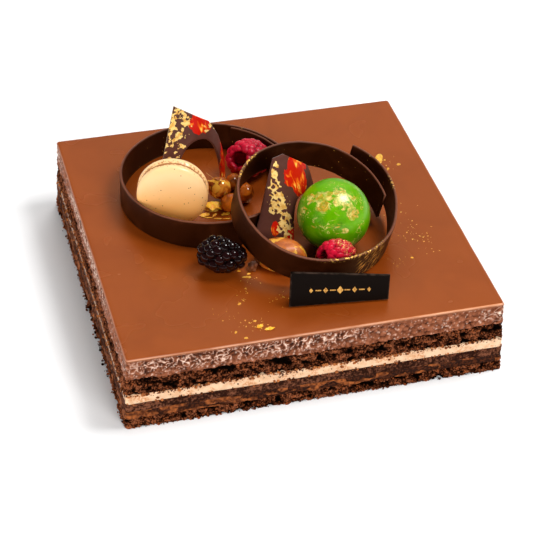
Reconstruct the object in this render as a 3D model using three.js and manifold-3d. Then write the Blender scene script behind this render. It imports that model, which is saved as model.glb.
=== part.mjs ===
// Layered chocolate square cake with two chocolate hoops full of sweets and fruit on its glaze.
// Millimetres, +Z up. The origin is the middle of the cake's underside; the front edge runs along X.
import * as THREE from "three";
import { ConvexHull } from "three/addons/math/ConvexHull.js";
import { mergeVertices } from "three/addons/utils/BufferGeometryUtils.js";
import Module from "manifold-3d";

const wasm = await Module();
wasm.setup();

// Cake body. Heights are whole eighths of a millimetre, so that stacked faces meet exactly.
const SIDE = 200;
const CORNER_CUT = 0.7;
const BASE_FLARE = 2.2;
const LAYERS = [
  { name: "base_sponge", height: 6, rows: 3, perSide: 32, crag: 1.5, color: 0x2a1510, rough: 0.95 },
  { name: "praline", height: 4.75, rows: 2, perSide: 24, crag: 1.1, color: 0x5a2c18, rough: 0.75 },
  { name: "ganache", height: 4.9, rows: 2, perSide: 24, crag: 0.8, color: 0x24120e, rough: 0.7 },
  { name: "cream", height: 5.3, rows: 2, perSide: 20, crag: 0.5, color: 0xd9ad84, rough: 0.7 },
  { name: "upper_sponge", height: 10, rows: 3, perSide: 32, crag: 1.5, color: 0x2a1510, rough: 0.95 },
  { name: "mousse", height: 10.675, rows: 3, perSide: 28, crag: 0.7, color: 0x5f3524, rough: 0.5 },
];
const GLAZE = { name: "glaze", height: 1.75, rows: 2, perSide: 10, crag: 0.2, color: 0xa05530, rough: 0.3 };
const GLAZE_EDGE = 0.5;
const TOP = LAYERS.reduce((sum, layer) => sum + layer.height, 0) + GLAZE.height;
const REST_GAP = 0.3;

// Chocolate hoops: strips bent round once, with their ends lapped.
const STRIP = { thickness: 1.6, bevel: 0.35, steps: 64 };
const LEFT_HOOP = { x: -27.8, y: 27.8, radius: 48.4, height: 16.75, from: 60, to: -346 };
const LEFT_LAP = { step: 2.4, lapped: 52, over: 60 };
const RIGHT_HOOP = { x: 17.2, y: -21, z: 54.45, tipX: 11.3, tipY: 7.9, radius: 43.45, height: 17 };
const RIGHT_LAP = { from: 0, to: 411, tuck: 4.2, tuckOver: 75, flare: 7.4, flareFrom: 338, flareOver: 66 };
const RIGHT_SWELL = { out: 3.1, at: 237, over: 40 };

// Curved shards: a horseshoe of thin chocolate, flat on its left and bent round to the right.
const SHARD_THICKNESS = 1.5;
const LEFT_SHARD = {
  at: [-55, 18], turn: 0, lean: 15, flat: 17.3, bend: 22,
  outline: [[-6.7, 0], [9.5, 60], [29, 48.4], [36.2, 38.5], [45.8, 19], [50, 0]], columns: [7, 5, 3, 4, 3],
  bite: { u: 22.8, v: 9, halfWidth: 15.5, rise: 30.3, power: 2, turns: [205, 128, 74, 48, 20, -12] },
};
const RIGHT_SHARD = {
  at: [-15, -25.4], turn: -8, lean: 20, flat: 11, bend: 25,
  outline: [[-1.2, 0], [10.7, 49.5], [16.5, 51.6], [32.4, 42.8], [57, 0]], columns: [7, 3, 5, 7],
  bite: { u: 33.1, v: 0, halfWidth: 11.2, rise: 28, power: 4, turns: [180, 122, 104, 62, 0] },
};

// Filled biscuit shells standing on edge.
const MACARON = {
  at: [-51.8, 8.95, 19.6], turn: -16.5, lean: 0,
  radius: 19.15, foot: 2.2, dome: 3.5, filling: 2.2,
};

// Fruit, nuts, ball and plaque.
const BALL = { x: 26.8, y: -30.8, radius: 19.5 };
const RASPBERRY = { radius: 9.6, length: 20, mouth: 4.4, hollow: 9.5, cells: 54, shoulders: 5, bump: 1 };
const DARK_BERRY = { radius: 8.8, length: 25.6, cells: 56, shoulders: 5, bump: 1.25 };
const LEFT_RASPBERRY = { at: [-1, 42.8, 11.2], mouthTo: [-0.66, -0.6, 0.45], squeeze: [1.24, 1.1, 1.08] };
const RIGHT_RASPBERRY = { at: [20.8, -56.7, 12], mouthTo: [-0.9, -0.3, 0.3], squeeze: [1.06, 0.73, 1.05] };
const DARK_BERRY_PLACE = { at: [-36, -39.4, 10.4], mouthTo: [-0.9, 0.42, 0.05], squeeze: [1, 1, 1] };
const NUTS = [
  { name: "hazelnut_front", at: [-22.6, 22.2, 8.6], radius: 6.3, tall: 6.3, tail: 6.5, to: [-0.78, 0.1, 0.62] },
  { name: "hazelnut_back", at: [-12.4, 30.6, 5.3], radius: 4.6, tall: 4.9, tail: 1.2, to: [0.4, -0.3, 0.85] },
  { name: "hazelnut_low", at: [-19.3, 11.9, 5.3], radius: 4.9, tall: 5.4, tail: 1.4, to: [0.85, 0.25, 0.35] },
  { name: "hazelnut_right", at: [-9, 17.2, 6.1], radius: 4.7, tall: 5.6, tail: 1.2, to: [0.1, 0.2, 0.97] },
];
const CARAMEL = { x: -4, y: -41.5, turn: -28, halfLength: 13.5, halfWidth: 9, height: 15 };
const PLAQUE_SLANT = { left: 1.2, right: 1 };
const PLAQUE = { x: -10, y: -78.4, turn: -6.1, lean: 17, width: 52, left: 19, right: 13.4, thickness: 2 };

// Gold leaf scraps and one brittle crumb on the glaze: x, y, half length, half width, height, turn.
const FLAKES = [
  [75.6, 41, 5.6, 2.6, 0.6, 70], [85, 33.3, 1.5, 0.9, 0.5, 20], [77.8, 30.4, 1.3, 0.8, 0.5, 50],
  [-24.6, -48, 2.7, 0.8, 0.5, -11], [-34.1, -68.9, 1.4, 0.8, 0.5, 30], [-28.5, -89.3, 1.8, 1, 0.5, 10],
  [-24.1, -92.2, 1.5, 0.9, 0.5, -20], [-29.8, -84.2, 1, 0.7, 0.5, 0], [-41.4, -90.6, 1.1, 0.7, 0.5, 60],
  [-37.4, -96.2, 1.2, 0.8, 0.5, 0], [-28.4, 15.4, 4.6, 3.2, 2.4, -10], [-20, -41.8, 3, 2.4, 4.6, 40],
];

const UP = new THREE.Vector3(0, 0, 1);
const rad = THREE.MathUtils.degToRad;
const ease = (f) => THREE.MathUtils.smoothstep(f, 0, 1);

// Repeatable random numbers between 0 and 1.
function randomFrom(seed) {
  let state = seed;
  return () => {
    state = (state * 1664525 + 1013904223) % 4294967296;
    return state / 4294967296;
  };
}

// Closed geometry from points and triangles, turned inside out if its faces point in.
function closed(points, faces) {
  let volume = 0;
  for (const [a, b, c] of faces) {
    volume += points[a].dot(new THREE.Vector3().crossVectors(points[b], points[c]));
  }
  const outward = volume > 0 ? faces : faces.map(([a, b, c]) => [a, c, b]);
  const geometry = new THREE.BufferGeometry();
  const coords = points.flatMap((p) => p.toArray());
  geometry.setAttribute("position", new THREE.Float32BufferAttribute(coords, 3));
  geometry.setIndex(outward.flat());
  geometry.computeVertexNormals();
  return geometry;
}

// Solid through a row of loops with equal counts, each end closed to a middle point.
function loft(loops, firstTip, lastTip) {
  const count = loops[0].length;
  const points = loops.flat();
  const faces = [];
  for (let r = 0; r + 1 < loops.length; r++) {
    for (let i = 0; i < count; i++) {
      const a = r * count + i;
      const b = r * count + ((i + 1) % count);
      faces.push([a, b, b + count], [a, b + count, a + count]);
    }
  }
  const middle = (loop) => loop.reduce((s, p) => s.add(p), new THREE.Vector3()).divideScalar(count);
  const first = points.push(firstTip ?? middle(loops[0])) - 1;
  const last = points.push(lastTip ?? middle(loops[loops.length - 1])) - 1;
  const end = (loops.length - 1) * count;
  for (let i = 0; i < count; i++) {
    const j = (i + 1) % count;
    faces.push([first, j, i], [last, end + i, end + j]);
  }
  return closed(points, faces);
}

// Turned solid from rows of [radius, height]; wobble(row, spot) moves the skin out or in.
function turned(rows, count, lowTip, highTip, wobble = () => 0) {
  const loops = rows.map(([radius, z], r) =>
    Array.from({ length: count }, (_, i) => {
      const angle = (2 * Math.PI * i) / count;
      const out = radius + wobble(r, i);
      return new THREE.Vector3(out * Math.cos(angle), out * Math.sin(angle), z);
    }),
  );
  return loft(loops, new THREE.Vector3(0, 0, lowTip), new THREE.Vector3(0, 0, highTip));
}

// Spots round the square with the direction that points out of the cake there.
function squareSpots(perSide) {
  const half = SIDE / 2;
  const corners = [[-1, -1], [1, -1], [1, 1], [-1, 1]];
  const spots = [];
  corners.forEach(([x, y], k) => {
    const [nextX, nextY] = corners[(k + 1) % 4];
    for (let i = 0; i < perSide; i++) {
      const f = i / perSide;
      const corner = i === 0;
      spots.push({
        x: (x + (nextX - x) * f) * half - (corner ? x * CORNER_CUT : 0),
        y: (y + (nextY - y) * f) * half - (corner ? y * CORNER_CUT : 0),
        outX: corner ? x * Math.SQRT1_2 : (x + nextX) / 2,
        outY: corner ? y * Math.SQRT1_2 : (y + nextY) / 2,
      });
    }
  });
  return spots;
}

// One layer across the whole cake: flat above and below, its cut sides craggy over a depth of crag.
function slab(layer, low, seed, edge = 0) {
  const random = randomFrom(seed);
  const spots = squareSpots(layer.perSide);
  const broad = spots.map(() => random());
  const loops = [];
  for (let r = 0; r <= layer.rows; r++) {
    const z = (layer.height * r) / layer.rows;
    const flare = BASE_FLARE * (1 - (low + z) / TOP);
    const drawn = r === layer.rows ? edge : 0;
    loops.push(
      spots.map((spot, i) => {
        const near = (broad[i] + broad[(i + 1) % spots.length]) / 2;
        const out = flare - drawn + layer.crag * (0.3 - 0.45 * near - 0.55 * random());
        return new THREE.Vector3(spot.x + spot.outX * out, spot.y + spot.outY * out, z);
      }),
    );
  }
  return loft(loops);
}

// Thin scrap of leaf: an uneven patch with a crumpled top, its foot sunk in what it lies on.
function scrap(halfLength, halfWidth, height, seed) {
  const random = randomFrom(seed);
  const count = 7;
  const reach = Array.from({ length: count }, () => 0.7 + 0.3 * random());
  const ring = (shrink, z, lift) =>
    reach.map((k, i) => {
      const angle = (2 * Math.PI * i) / count;
      const x = halfLength * k * shrink * Math.cos(angle);
      const y = halfWidth * k * shrink * Math.sin(angle);
      return new THREE.Vector3(x, y, z + lift * random());
    });
  const crown = new THREE.Vector3(0, 0, height);
  return loft([ring(1, -0.6, 0), ring(0.95, height * 0.35, height * 0.35)], undefined, crown);
}

function asManifold(geometry) {
  const bare = geometry.clone();
  bare.deleteAttribute("normal");
  bare.deleteAttribute("uv");
  const merged = mergeVertices(bare);
  const vertProperties = new Float32Array(merged.attributes.position.array);
  const triVerts = new Uint32Array(merged.index.array);
  return new wasm.Manifold(new wasm.Mesh({ numProp: 3, vertProperties, triVerts }));
}

function asGeometry(solid) {
  const mesh = solid.getMesh();
  const geometry = new THREE.BufferGeometry();
  geometry.setAttribute("position", new THREE.Float32BufferAttribute(mesh.vertProperties, 3));
  geometry.setIndex(Array.from(mesh.triVerts));
  geometry.computeVertexNormals();
  return geometry;
}

// Glaze with the scraps of leaf stuck to its face.
function glazeWithScraps(low) {
  let solid = asManifold(slab(GLAZE, low, 97, GLAZE_EDGE));
  FLAKES.forEach(([x, y, halfLength, halfWidth, height, turn], k) => {
    const patch = scrap(halfLength, halfWidth, height, 300 + k);
    patch.rotateZ(rad(turn));
    patch.translate(x, y, GLAZE.height);
    solid = solid.add(asManifold(patch));
  });
  return asGeometry(solid);
}

// Strip bent round the Z axis: radiusAt gives its outer face's radius at each angle in degrees.
function strip(from, to, radiusAt, height) {
  const { thickness, bevel, steps } = STRIP;
  const section = [
    [0, 0], [0, height - bevel], [-bevel, height],
    [bevel - thickness, height], [-thickness, height - bevel], [-thickness, 0],
  ];
  const on = (angle) => new THREE.Vector3(radiusAt(angle), 0, 0).applyAxisAngle(UP, rad(angle));
  const loops = [];
  for (let i = 0; i <= steps; i++) {
    const angle = from + ((to - from) * i) / steps;
    const along = on(angle + 0.5).sub(on(angle - 0.5)).normalize();
    const outward = along.cross(UP);
    loops.push(section.map(([out, z]) => on(angle).addScaledVector(outward, out).setZ(z)));
  }
  return loft(loops);
}

// Left hoop: its first end lies inside the lap and the strip works outward behind it.
function leftRadius(angle) {
  const { radius, from } = LEFT_HOOP;
  return radius - LEFT_LAP.step * (1 - ease((from - angle - LEFT_LAP.lapped) / LEFT_LAP.over));
}

// Right hoop: swollen at the front left, its first end tucked in and its last end springing away.
function rightRadius(angle) {
  const tuck = RIGHT_LAP.tuck * (1 - ease((angle - RIGHT_LAP.from) / RIGHT_LAP.tuckOver));
  const flare = RIGHT_LAP.flare * ease((angle - RIGHT_LAP.flareFrom) / RIGHT_LAP.flareOver);
  const swell = RIGHT_SWELL.out * Math.exp(-(((angle - RIGHT_SWELL.at) / RIGHT_SWELL.over) ** 2));
  return RIGHT_HOOP.radius - tuck + flare + swell;
}

// Bends a flat spot (u across, v up the sheet) round the shard's curve and leans the sheet back.
function bent({ flat, bend, lean }, u, v, depth) {
  const angle = Math.max(0, (u - flat) / bend);
  const hub = bend + depth;
  const across = Math.min(u, flat) + hub * Math.sin(angle);
  const forward = depth - hub * (1 - Math.cos(angle));
  const tip = rad(lean);
  return new THREE.Vector3(
    across,
    -forward * Math.cos(tip) + v * Math.sin(tip),
    forward * Math.sin(tip) + v * Math.cos(tip),
  );
}

// Horseshoe shard: columns run from its outer edge to the round bite, from the left foot to the right.
function shard(spec) {
  const { outline, columns, bite } = spec;
  const pairs = [];
  columns.forEach((steps, k) => {
    const last = k === columns.length - 1;
    for (let i = 0; i < steps + (last ? 1 : 0); i++) {
      const f = i / steps;
      const outer = outline[k].map((c, axis) => c + (outline[k + 1][axis] - c) * f);
      const turn = rad(bite.turns[k] + (bite.turns[k + 1] - bite.turns[k]) * f);
      const power = 2 / bite.power;
      const cos = Math.sign(Math.cos(turn)) * Math.abs(Math.cos(turn)) ** power;
      const sin = Math.sign(Math.sin(turn)) * Math.abs(Math.sin(turn)) ** power;
      pairs.push([outer, [bite.u + bite.halfWidth * cos, bite.v + bite.rise * sin]]);
    }
  });
  const across = [0, 1 / 3, 2 / 3, 1];
  const half = SHARD_THICKNESS / 2;
  const footing = (u, depth) => (REST_GAP - bent(spec, u, 0, depth).z) / Math.cos(rad(spec.lean));
  const loops = pairs.map(([outer, inner]) => {
    const face = (f, depth) => {
      const u = outer[0] + (inner[0] - outer[0]) * f;
      const v = outer[1] + (inner[1] - outer[1]) * f;
      return bent(spec, u, Math.max(v, footing(u, depth)), depth);
    };
    return [...across.map((f) => face(f, half)), ...across.toReversed().map((f) => face(f, -half))];
  });
  return loft(loops);
}

// Biscuit shell: a slightly ragged rim below, a smooth dome above.
function shell(seed) {
  const random = randomFrom(seed);
  const { radius, foot, dome } = MACARON;
  const rows = [
    [radius - 0.8, 0], [radius - 0.15, foot * 0.25], [radius, foot * 0.8], [radius - 0.2, foot + dome * 0.18],
    [radius - 1.1, foot + dome * 0.44], [radius - 3.4, foot + dome * 0.7], [radius - 7.5, foot + dome * 0.9],
    [radius - 12.5, foot + dome * 0.98],
  ];
  return turned(rows, 32, 0, foot + dome, (r) => (r < 2 ? 0.3 * (random() - 0.5) : 0));
}

function shellFilling() {
  const { radius, filling } = MACARON;
  const random = randomFrom(41);
  const rows = [[radius - 2.2, 0], [radius - 1.2, filling / 2], [radius - 2.2, filling]];
  return turned(rows, 32, 0, filling, () => 0.5 * (random() - 0.5));
}

// Berry of round cells: profile(angle from the mouth) gives [radius, height] of the smooth body.
function berry({ cells, shoulders, bump }, profile, seed) {
  const random = randomFrom(seed);
  const centres = [];
  for (let i = 0; i < cells; i++) {
    const z = 1 - (2 * i + 1) / cells;
    const angle = i * Math.PI * (3 - Math.sqrt(5)) + 0.18 * random();
    const wide = Math.sqrt(1 - z * z);
    centres.push(new THREE.Vector3(wide * Math.cos(angle), wide * Math.sin(angle), z));
  }
  const lift = new Map(centres.map((p) => [p, bump * (0.9 + 0.2 * random())]));
  const reach = 0.52 * Math.sqrt((4 * Math.PI) / cells / Math.PI);
  for (const centre of centres) {
    const side = new THREE.Vector3().crossVectors(centre, new THREE.Vector3(0.31, 0.47, 0.83)).normalize();
    const turn = random();
    for (let k = 0; k < shoulders; k++) {
      const spot = centre.clone().addScaledVector(side, reach).normalize();
      spot.applyAxisAngle(centre, (2 * Math.PI * (k + turn)) / shoulders);
      lift.set(spot, bump * 0.72);
    }
  }
  for (const face of new ConvexHull().setFromPoints(centres).faces) {
    lift.set(face.normal.clone().normalize(), 0);
  }
  const skin = [...lift.keys()];
  const order = new Map(skin.map((p, i) => [p, i]));
  const faces = new ConvexHull().setFromPoints(skin).faces.map(({ edge }) =>
    [edge, edge.next, edge.prev].map((e) => order.get(e.head().point)),
  );
  const points = skin.map((p) => {
    const angle = Math.acos(THREE.MathUtils.clamp(p.z, -1, 1));
    const [radius, height] = profile(angle);
    const [nextRadius, nextHeight] = profile(Math.min(angle + 0.02, Math.PI));
    const [lastRadius, lastHeight] = profile(Math.max(angle - 0.02, 0));
    const slope = new THREE.Vector2(lastHeight - nextHeight, nextRadius - lastRadius).normalize();
    const out = radius + slope.x * lift.get(p);
    const round = Math.atan2(p.y, p.x);
    const z = height + slope.y * lift.get(p);
    return new THREE.Vector3(out * Math.cos(round), out * Math.sin(round), z);
  });
  return closed(points, faces);
}

// Raspberry body: a cup from the hollow's floor over the rim and down to the tip.
function raspberryProfile(angle) {
  const { radius, length, mouth, hollow } = RASPBERRY;
  const rim = 0.62;
  const top = length / 2 - 1.6;
  if (angle < rim) {
    const f = (angle / rim) * (Math.PI / 2);
    return [mouth * Math.sin(f), top - hollow * Math.cos(f)];
  }
  const rise = Math.cos(rim);
  const height = top - ((rise - Math.cos(angle)) / (rise + 1)) * (length - 1.6);
  const swell = Math.sin(angle) ** 0.9;
  return [Math.max(0, radius * swell), height];
}

function darkBerryProfile(angle) {
  const { radius, length } = DARK_BERRY;
  const taper = 1 + 0.1 * Math.cos(angle);
  return [Math.max(0, radius * Math.sin(angle) * taper), (length / 2) * Math.cos(angle)];
}

// Nut in a caramel coat that ends in a drawn point.
function nut({ radius, tall, tail }, seed) {
  const random = randomFrom(seed);
  const rows = [-0.86, -0.5, 0, 0.45, 0.78, 0.95].map((f) => [radius * Math.sqrt(1 - f * f), tall * f]);
  if (tail > 4) {
    rows.push([0.55, tall * 1.25]);
  }
  return turned(rows, 12, -tall, tall + tail, (r) => 0.3 * (random() - 0.5) * (r < 5 ? 1 : 0));
}

function caramelDome() {
  const { halfLength, halfWidth, height } = CARAMEL;
  const random = randomFrom(71);
  const rows = [[0.86, 0], [1, 0.24], [0.97, 0.48], [0.84, 0.72], [0.55, 0.92]];
  const dome = turned(rows, 16, 0, 1, (r) => (r > 0 ? 0.05 * (random() - 0.5) : 0));
  return dome.scale(halfLength, halfWidth, height);
}

// Plaque outline: longer at its left end, with its right end slanted.
function plaqueGeometry() {
  const { width, left, right, thickness } = PLAQUE;
  const rim = 0.25;
  const outline = new THREE.Shape([
    new THREE.Vector2(rim, rim),
    new THREE.Vector2(width - rim, rim),
    new THREE.Vector2(width + PLAQUE_SLANT.right - rim, right - rim),
    new THREE.Vector2(PLAQUE_SLANT.left + rim, left - rim),
  ]);
  const plaque = new THREE.ExtrudeGeometry(outline, {
    depth: thickness - 2 * rim, bevelThickness: rim, bevelSize: rim, bevelSegments: 1,
  });
  return plaque.translate(0, 0, rim - thickness);
}

const cake = new THREE.Group();

function piece(parent, name, geometry, color, roughness, metalness = 0) {
  const mesh = new THREE.Mesh(geometry, new THREE.MeshStandardMaterial({ color, roughness, metalness }));
  mesh.name = name;
  parent.add(mesh);
  return mesh;
}

function place(parent, x, y, z) {
  const group = new THREE.Group();
  group.position.set(x, y, z);
  parent.add(group);
  return group;
}

// Turns a piece so that its own +Z points along the given direction.
function aim(object, direction) {
  object.quaternion.setFromUnitVectors(UP, new THREE.Vector3(...direction).normalize());
}

let level = 0;
LAYERS.forEach((layer, k) => {
  const mesh = piece(cake, layer.name, slab(layer, level, 11 + k), layer.color, layer.rough);
  mesh.position.z = level;
  level += layer.height;
});
const glaze = piece(cake, GLAZE.name, glazeWithScraps(level), GLAZE.color, GLAZE.rough);
glaze.position.z = level;

// Everything that stands on the glaze is placed from its upper face.
const toppings = place(cake, 0, 0, TOP);

const leftStrip = strip(LEFT_HOOP.from, LEFT_HOOP.to, leftRadius, LEFT_HOOP.height);
piece(place(toppings, LEFT_HOOP.x, LEFT_HOOP.y, 0), "hoop_left", leftStrip, 0x3a1d14, 0.45);

const rightHoop = place(toppings, RIGHT_HOOP.x, RIGHT_HOOP.y, RIGHT_HOOP.z - TOP);
rightHoop.rotation.set(rad(RIGHT_HOOP.tipX), rad(RIGHT_HOOP.tipY), 0);
const rightStrip = strip(RIGHT_LAP.from, RIGHT_LAP.to, rightRadius, RIGHT_HOOP.height);
piece(rightHoop, "hoop_right", rightStrip, 0x3a1d14, 0.45);

[["shard_left", LEFT_SHARD], ["shard_right", RIGHT_SHARD]].forEach(([name, spec]) => {
  const group = place(toppings, spec.at[0], spec.at[1], 0);
  group.rotation.z = rad(spec.turn);
  piece(group, name, shard(spec), 0x4a2a22, 0.4);
});

const biscuit = place(toppings, ...MACARON.at);
biscuit.rotation.set(rad(90 - MACARON.lean), 0, rad(MACARON.turn), "ZYX");
const shellStart = MACARON.filling / 2 + REST_GAP;
piece(biscuit, "macaron_shell_front", shell(51), 0xe6bd8d, 0.7).position.z = shellStart;
const backShell = piece(biscuit, "macaron_shell_back", shell(52), 0xe6bd8d, 0.7);
backShell.rotation.x = Math.PI;
backShell.position.z = -shellStart;
piece(biscuit, "macaron_filling", shellFilling(), 0xb98a58, 0.7).position.z = -MACARON.filling / 2;

const ballMesh = new THREE.IcosahedronGeometry(BALL.radius, 4);
ballMesh.deleteAttribute("normal");
ballMesh.deleteAttribute("uv");
const ballSkin = mergeVertices(ballMesh);
ballSkin.computeVertexNormals();
const ball = piece(toppings, "green_ball", ballSkin, 0x4aa40c, 0.25);
ball.position.set(BALL.x, BALL.y, BALL.radius + REST_GAP);

// Fruit lies with its mouth turned to one side, squeezed where it is wedged between its neighbours.
function fruit(name, skin, spec, color, roughness) {
  const bed = place(toppings, ...spec.at);
  bed.scale.set(...spec.squeeze);
  aim(piece(bed, name, skin, color, roughness), spec.mouthTo);
}
fruit("raspberry_left", berry(RASPBERRY, raspberryProfile, 61), LEFT_RASPBERRY, 0xb0122c, 0.4);
fruit("raspberry_right", berry(RASPBERRY, raspberryProfile, 62), RIGHT_RASPBERRY, 0xb0122c, 0.4);
fruit("dark_berry", berry(DARK_BERRY, darkBerryProfile, 63), DARK_BERRY_PLACE, 0x1c0a10, 0.2);

NUTS.forEach((spec, k) => {
  const kernel = piece(toppings, spec.name, nut(spec, 81 + k), 0xa5601c, 0.2);
  kernel.position.set(...spec.at);
  aim(kernel, spec.to);
});

const caramel = piece(toppings, "caramel_dome", caramelDome(), 0xd8882c, 0.3);
caramel.position.set(CARAMEL.x, CARAMEL.y, REST_GAP);
caramel.rotation.z = rad(CARAMEL.turn);

const plaqueRise = PLAQUE.thickness * Math.sin(rad(PLAQUE.lean)) + REST_GAP;
const plaque = place(toppings, PLAQUE.x, PLAQUE.y, plaqueRise);
plaque.rotation.set(rad(90 - PLAQUE.lean), 0, rad(PLAQUE.turn), "ZYX");
piece(plaque, "plaque", plaqueGeometry(), 0x17100e, 0.35);

export default cake;
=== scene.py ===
"""Chocolate square cake: layers, glaze, hoops, shards, sweets, fruit and gold leaf.

Shapes are worked out in millimetres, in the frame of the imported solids, and laid down in metres.
"""

import logging
import math
from collections.abc import Callable, Mapping, Sequence
from dataclasses import dataclass, field
from enum import Enum
from functools import cached_property, reduce
from operator import or_

import bmesh
import bpy
import numpy as np
from mathutils import Matrix, Vector


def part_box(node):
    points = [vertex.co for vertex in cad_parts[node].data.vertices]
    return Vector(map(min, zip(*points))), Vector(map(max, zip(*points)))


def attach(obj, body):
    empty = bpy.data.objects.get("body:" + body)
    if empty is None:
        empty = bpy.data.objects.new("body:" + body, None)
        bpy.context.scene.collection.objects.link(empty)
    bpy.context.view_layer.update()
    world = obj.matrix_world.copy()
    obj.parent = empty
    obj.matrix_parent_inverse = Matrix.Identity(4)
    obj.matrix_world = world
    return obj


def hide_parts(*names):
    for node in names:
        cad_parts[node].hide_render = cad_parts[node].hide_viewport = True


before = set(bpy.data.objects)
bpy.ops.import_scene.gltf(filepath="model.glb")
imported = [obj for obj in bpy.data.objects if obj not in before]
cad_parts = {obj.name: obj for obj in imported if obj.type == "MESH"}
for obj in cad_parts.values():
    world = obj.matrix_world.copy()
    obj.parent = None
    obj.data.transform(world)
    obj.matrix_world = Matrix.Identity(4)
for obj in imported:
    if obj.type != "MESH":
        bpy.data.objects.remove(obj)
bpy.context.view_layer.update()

LOG = logging.getLogger("cake")
MM = 0.001
SOFT_DEPTH = 2 * MM
BODY = "root"

Array = np.ndarray
Spot = tuple[float, float, float]
Colour = tuple[float, float, float, float]


def tone(*channels: int) -> Colour:
    """Linear opaque colour of a screen colour's red, green and blue, from 0 to 255."""
    shares = [channel / 255 for channel in channels]
    return (*(s / 12.92 if s <= 0.04045 else ((s + 0.055) / 1.055) ** 2.4 for s in shares), 1.0)


def ease(share: Array | float) -> Array | float:
    """Smooth step from 0 to 1, held at both ends."""
    held = np.clip(share, 0, 1)
    return held * held * (3 - 2 * held)


# Height of the glaze and sizes that several pieces share, in millimetres.
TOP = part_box("hoop_left")[0].z / MM
SIDE = 200.0
BASE_FLARE = 2.2
REST_GAP = 0.3

# Share of the square that lies flat inside the broken edges.
FLAT_SHARE = 0.94

# Numbers that stir a lattice cell's place into a random number.
CELL_FACTORS = (73856093, 19349663, 83492791)
SEED_FACTOR = 97531
CHANNEL_FACTOR = 40503
STIR_FACTORS = (0x45D9F3B, 0x119DE1F3)
LOW_32_BITS = 0xFFFFFFFF
LOW_24_BITS = 0xFFFFFF


class Draws:
    """Repeatable random numbers between 0 and 1."""

    FACTOR = 1664525
    STEP = 1013904223
    SPAN = 2**32

    def __init__(self, seed: int) -> None:
        """Starts the row of numbers at a seed."""
        self.state = seed

    def __call__(self) -> float:
        """Next number of the row."""
        self.state = (self.state * self.FACTOR + self.STEP) % self.SPAN
        return self.state / self.SPAN


@dataclass(frozen=True)
class Grain:
    """Repeatable lumpy fields over points in millimetres."""

    seed: int
    octaves: int = 3

    def scatter(self, cells: Array, channel: int) -> Array:
        """Random number of each lattice cell.

        Args:
            cells: whole-number cells, one row each.
            channel: which of a cell's numbers.
        Returns:
            Numbers between 0 and 1.
        """
        x, y, z = (cells[:, k] * factor for k, factor in enumerate(CELL_FACTORS))
        stirred = (x ^ y ^ z ^ (self.seed * SEED_FACTOR + channel * CHANNEL_FACTOR)) & LOW_32_BITS
        for factor in STIR_FACTORS:
            stirred = ((stirred ^ (stirred >> 15)) * factor) & LOW_32_BITS
        return ((stirred ^ (stirred >> 14)) & LOW_24_BITS) / LOW_24_BITS

    def smooth(self, points: Array, size: float | Sequence[float]) -> Array:
        """Soft noise.

        Args:
            points: places in millimetres.
            size: width of a lump, or its width along each axis.
        Returns:
            Values between 0 and 1.
        """
        spot = points / np.asarray(size, float)
        base = np.floor(spot).astype(np.int64)
        share = ease(spot - base)
        total = np.zeros(len(points))
        for corner in np.ndindex(2, 2, 2):
            weight = np.prod(np.where(corner, share, 1 - share), axis=1)
            total += weight * self.scatter(base + np.array(corner), 0)
        return total

    def rough(self, points: Array, size: float) -> Array:
        """Soft noise with finer noise on it, between 0 and 1."""
        parts = [self.smooth(points, size / 2**k) / 2**k for k in range(self.octaves)]
        return sum(parts) / sum(1 / 2**k for k in range(self.octaves))

    def lumps(self, points: Array, size: float | Sequence[float]) -> tuple[Array, Array]:
        """Packed crumbs.

        Args:
            points: places in millimetres.
            size: width of a crumb, or its width along each axis.
        Returns:
            Roundness of the nearest crumb, 1 at its middle, and that crumb's random number.
        """
        spot = points / np.asarray(size, float)
        base = np.floor(spot).astype(np.int64)
        nearest = np.full(len(points), np.inf)
        own = np.zeros(len(points))
        for shift in np.ndindex(3, 3, 3):
            cell = base + np.array(shift) - 1
            middle = cell + np.stack([self.scatter(cell, k) for k in (1, 2, 3)], axis=1)
            distance = np.linalg.norm(middle - spot, axis=1)
            closer = distance < nearest
            nearest = np.where(closer, distance, nearest)
            own = np.where(closer, self.scatter(cell, 4), own)
        return 1 - np.minimum(nearest, 1) ** 2, own


@dataclass
class Shape:
    """Mesh in millimetres, with the fields that its finish reads at each point."""

    points: Array
    quads: Array
    tris: Array
    fields: dict[str, Array] = field(default_factory=dict)
    smooth: bool = True

    def outward(self) -> "Shape":
        """Turns the faces out where the mesh is inside out.

        Returns:
            The same mesh.
        """
        halves = [self.tris, self.quads[:, [0, 1, 2]], self.quads[:, [0, 2, 3]]]
        corners = self.points[np.concatenate(halves)]
        middle = self.points.mean(axis=0)
        a, b, c = (corners[:, k] - middle for k in range(3))
        if np.einsum("ij,ij->i", a, np.cross(b, c)).sum() < 0:
            self.quads = self.quads[:, ::-1]
            self.tris = self.tris[:, ::-1]
        return self

    def moved(self, matrix: Matrix) -> "Shape":
        """Puts the points through a matrix.

        Args:
            matrix: place and turn, in millimetres.
        Returns:
            The same mesh.
        """
        turn = np.array(matrix)
        self.points = self.points @ turn[:3, :3].T + turn[:3, 3]
        return self

    @classmethod
    def joined(cls, shapes: Sequence["Shape"]) -> "Shape":
        """One flat-shaded mesh of several, with the fields of the first.

        Args:
            shapes: the meshes.
        Returns:
            The joined mesh.
        """
        starts = np.cumsum([0] + [len(s.points) for s in shapes])
        return cls(
            np.concatenate([s.points for s in shapes]),
            np.concatenate([s.quads + k for s, k in zip(shapes, starts)]),
            np.concatenate([s.tris + k for s, k in zip(shapes, starts)]),
            {key: np.concatenate([s.fields[key] for s in shapes]) for key in shapes[0].fields},
            smooth=False,
        )


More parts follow.
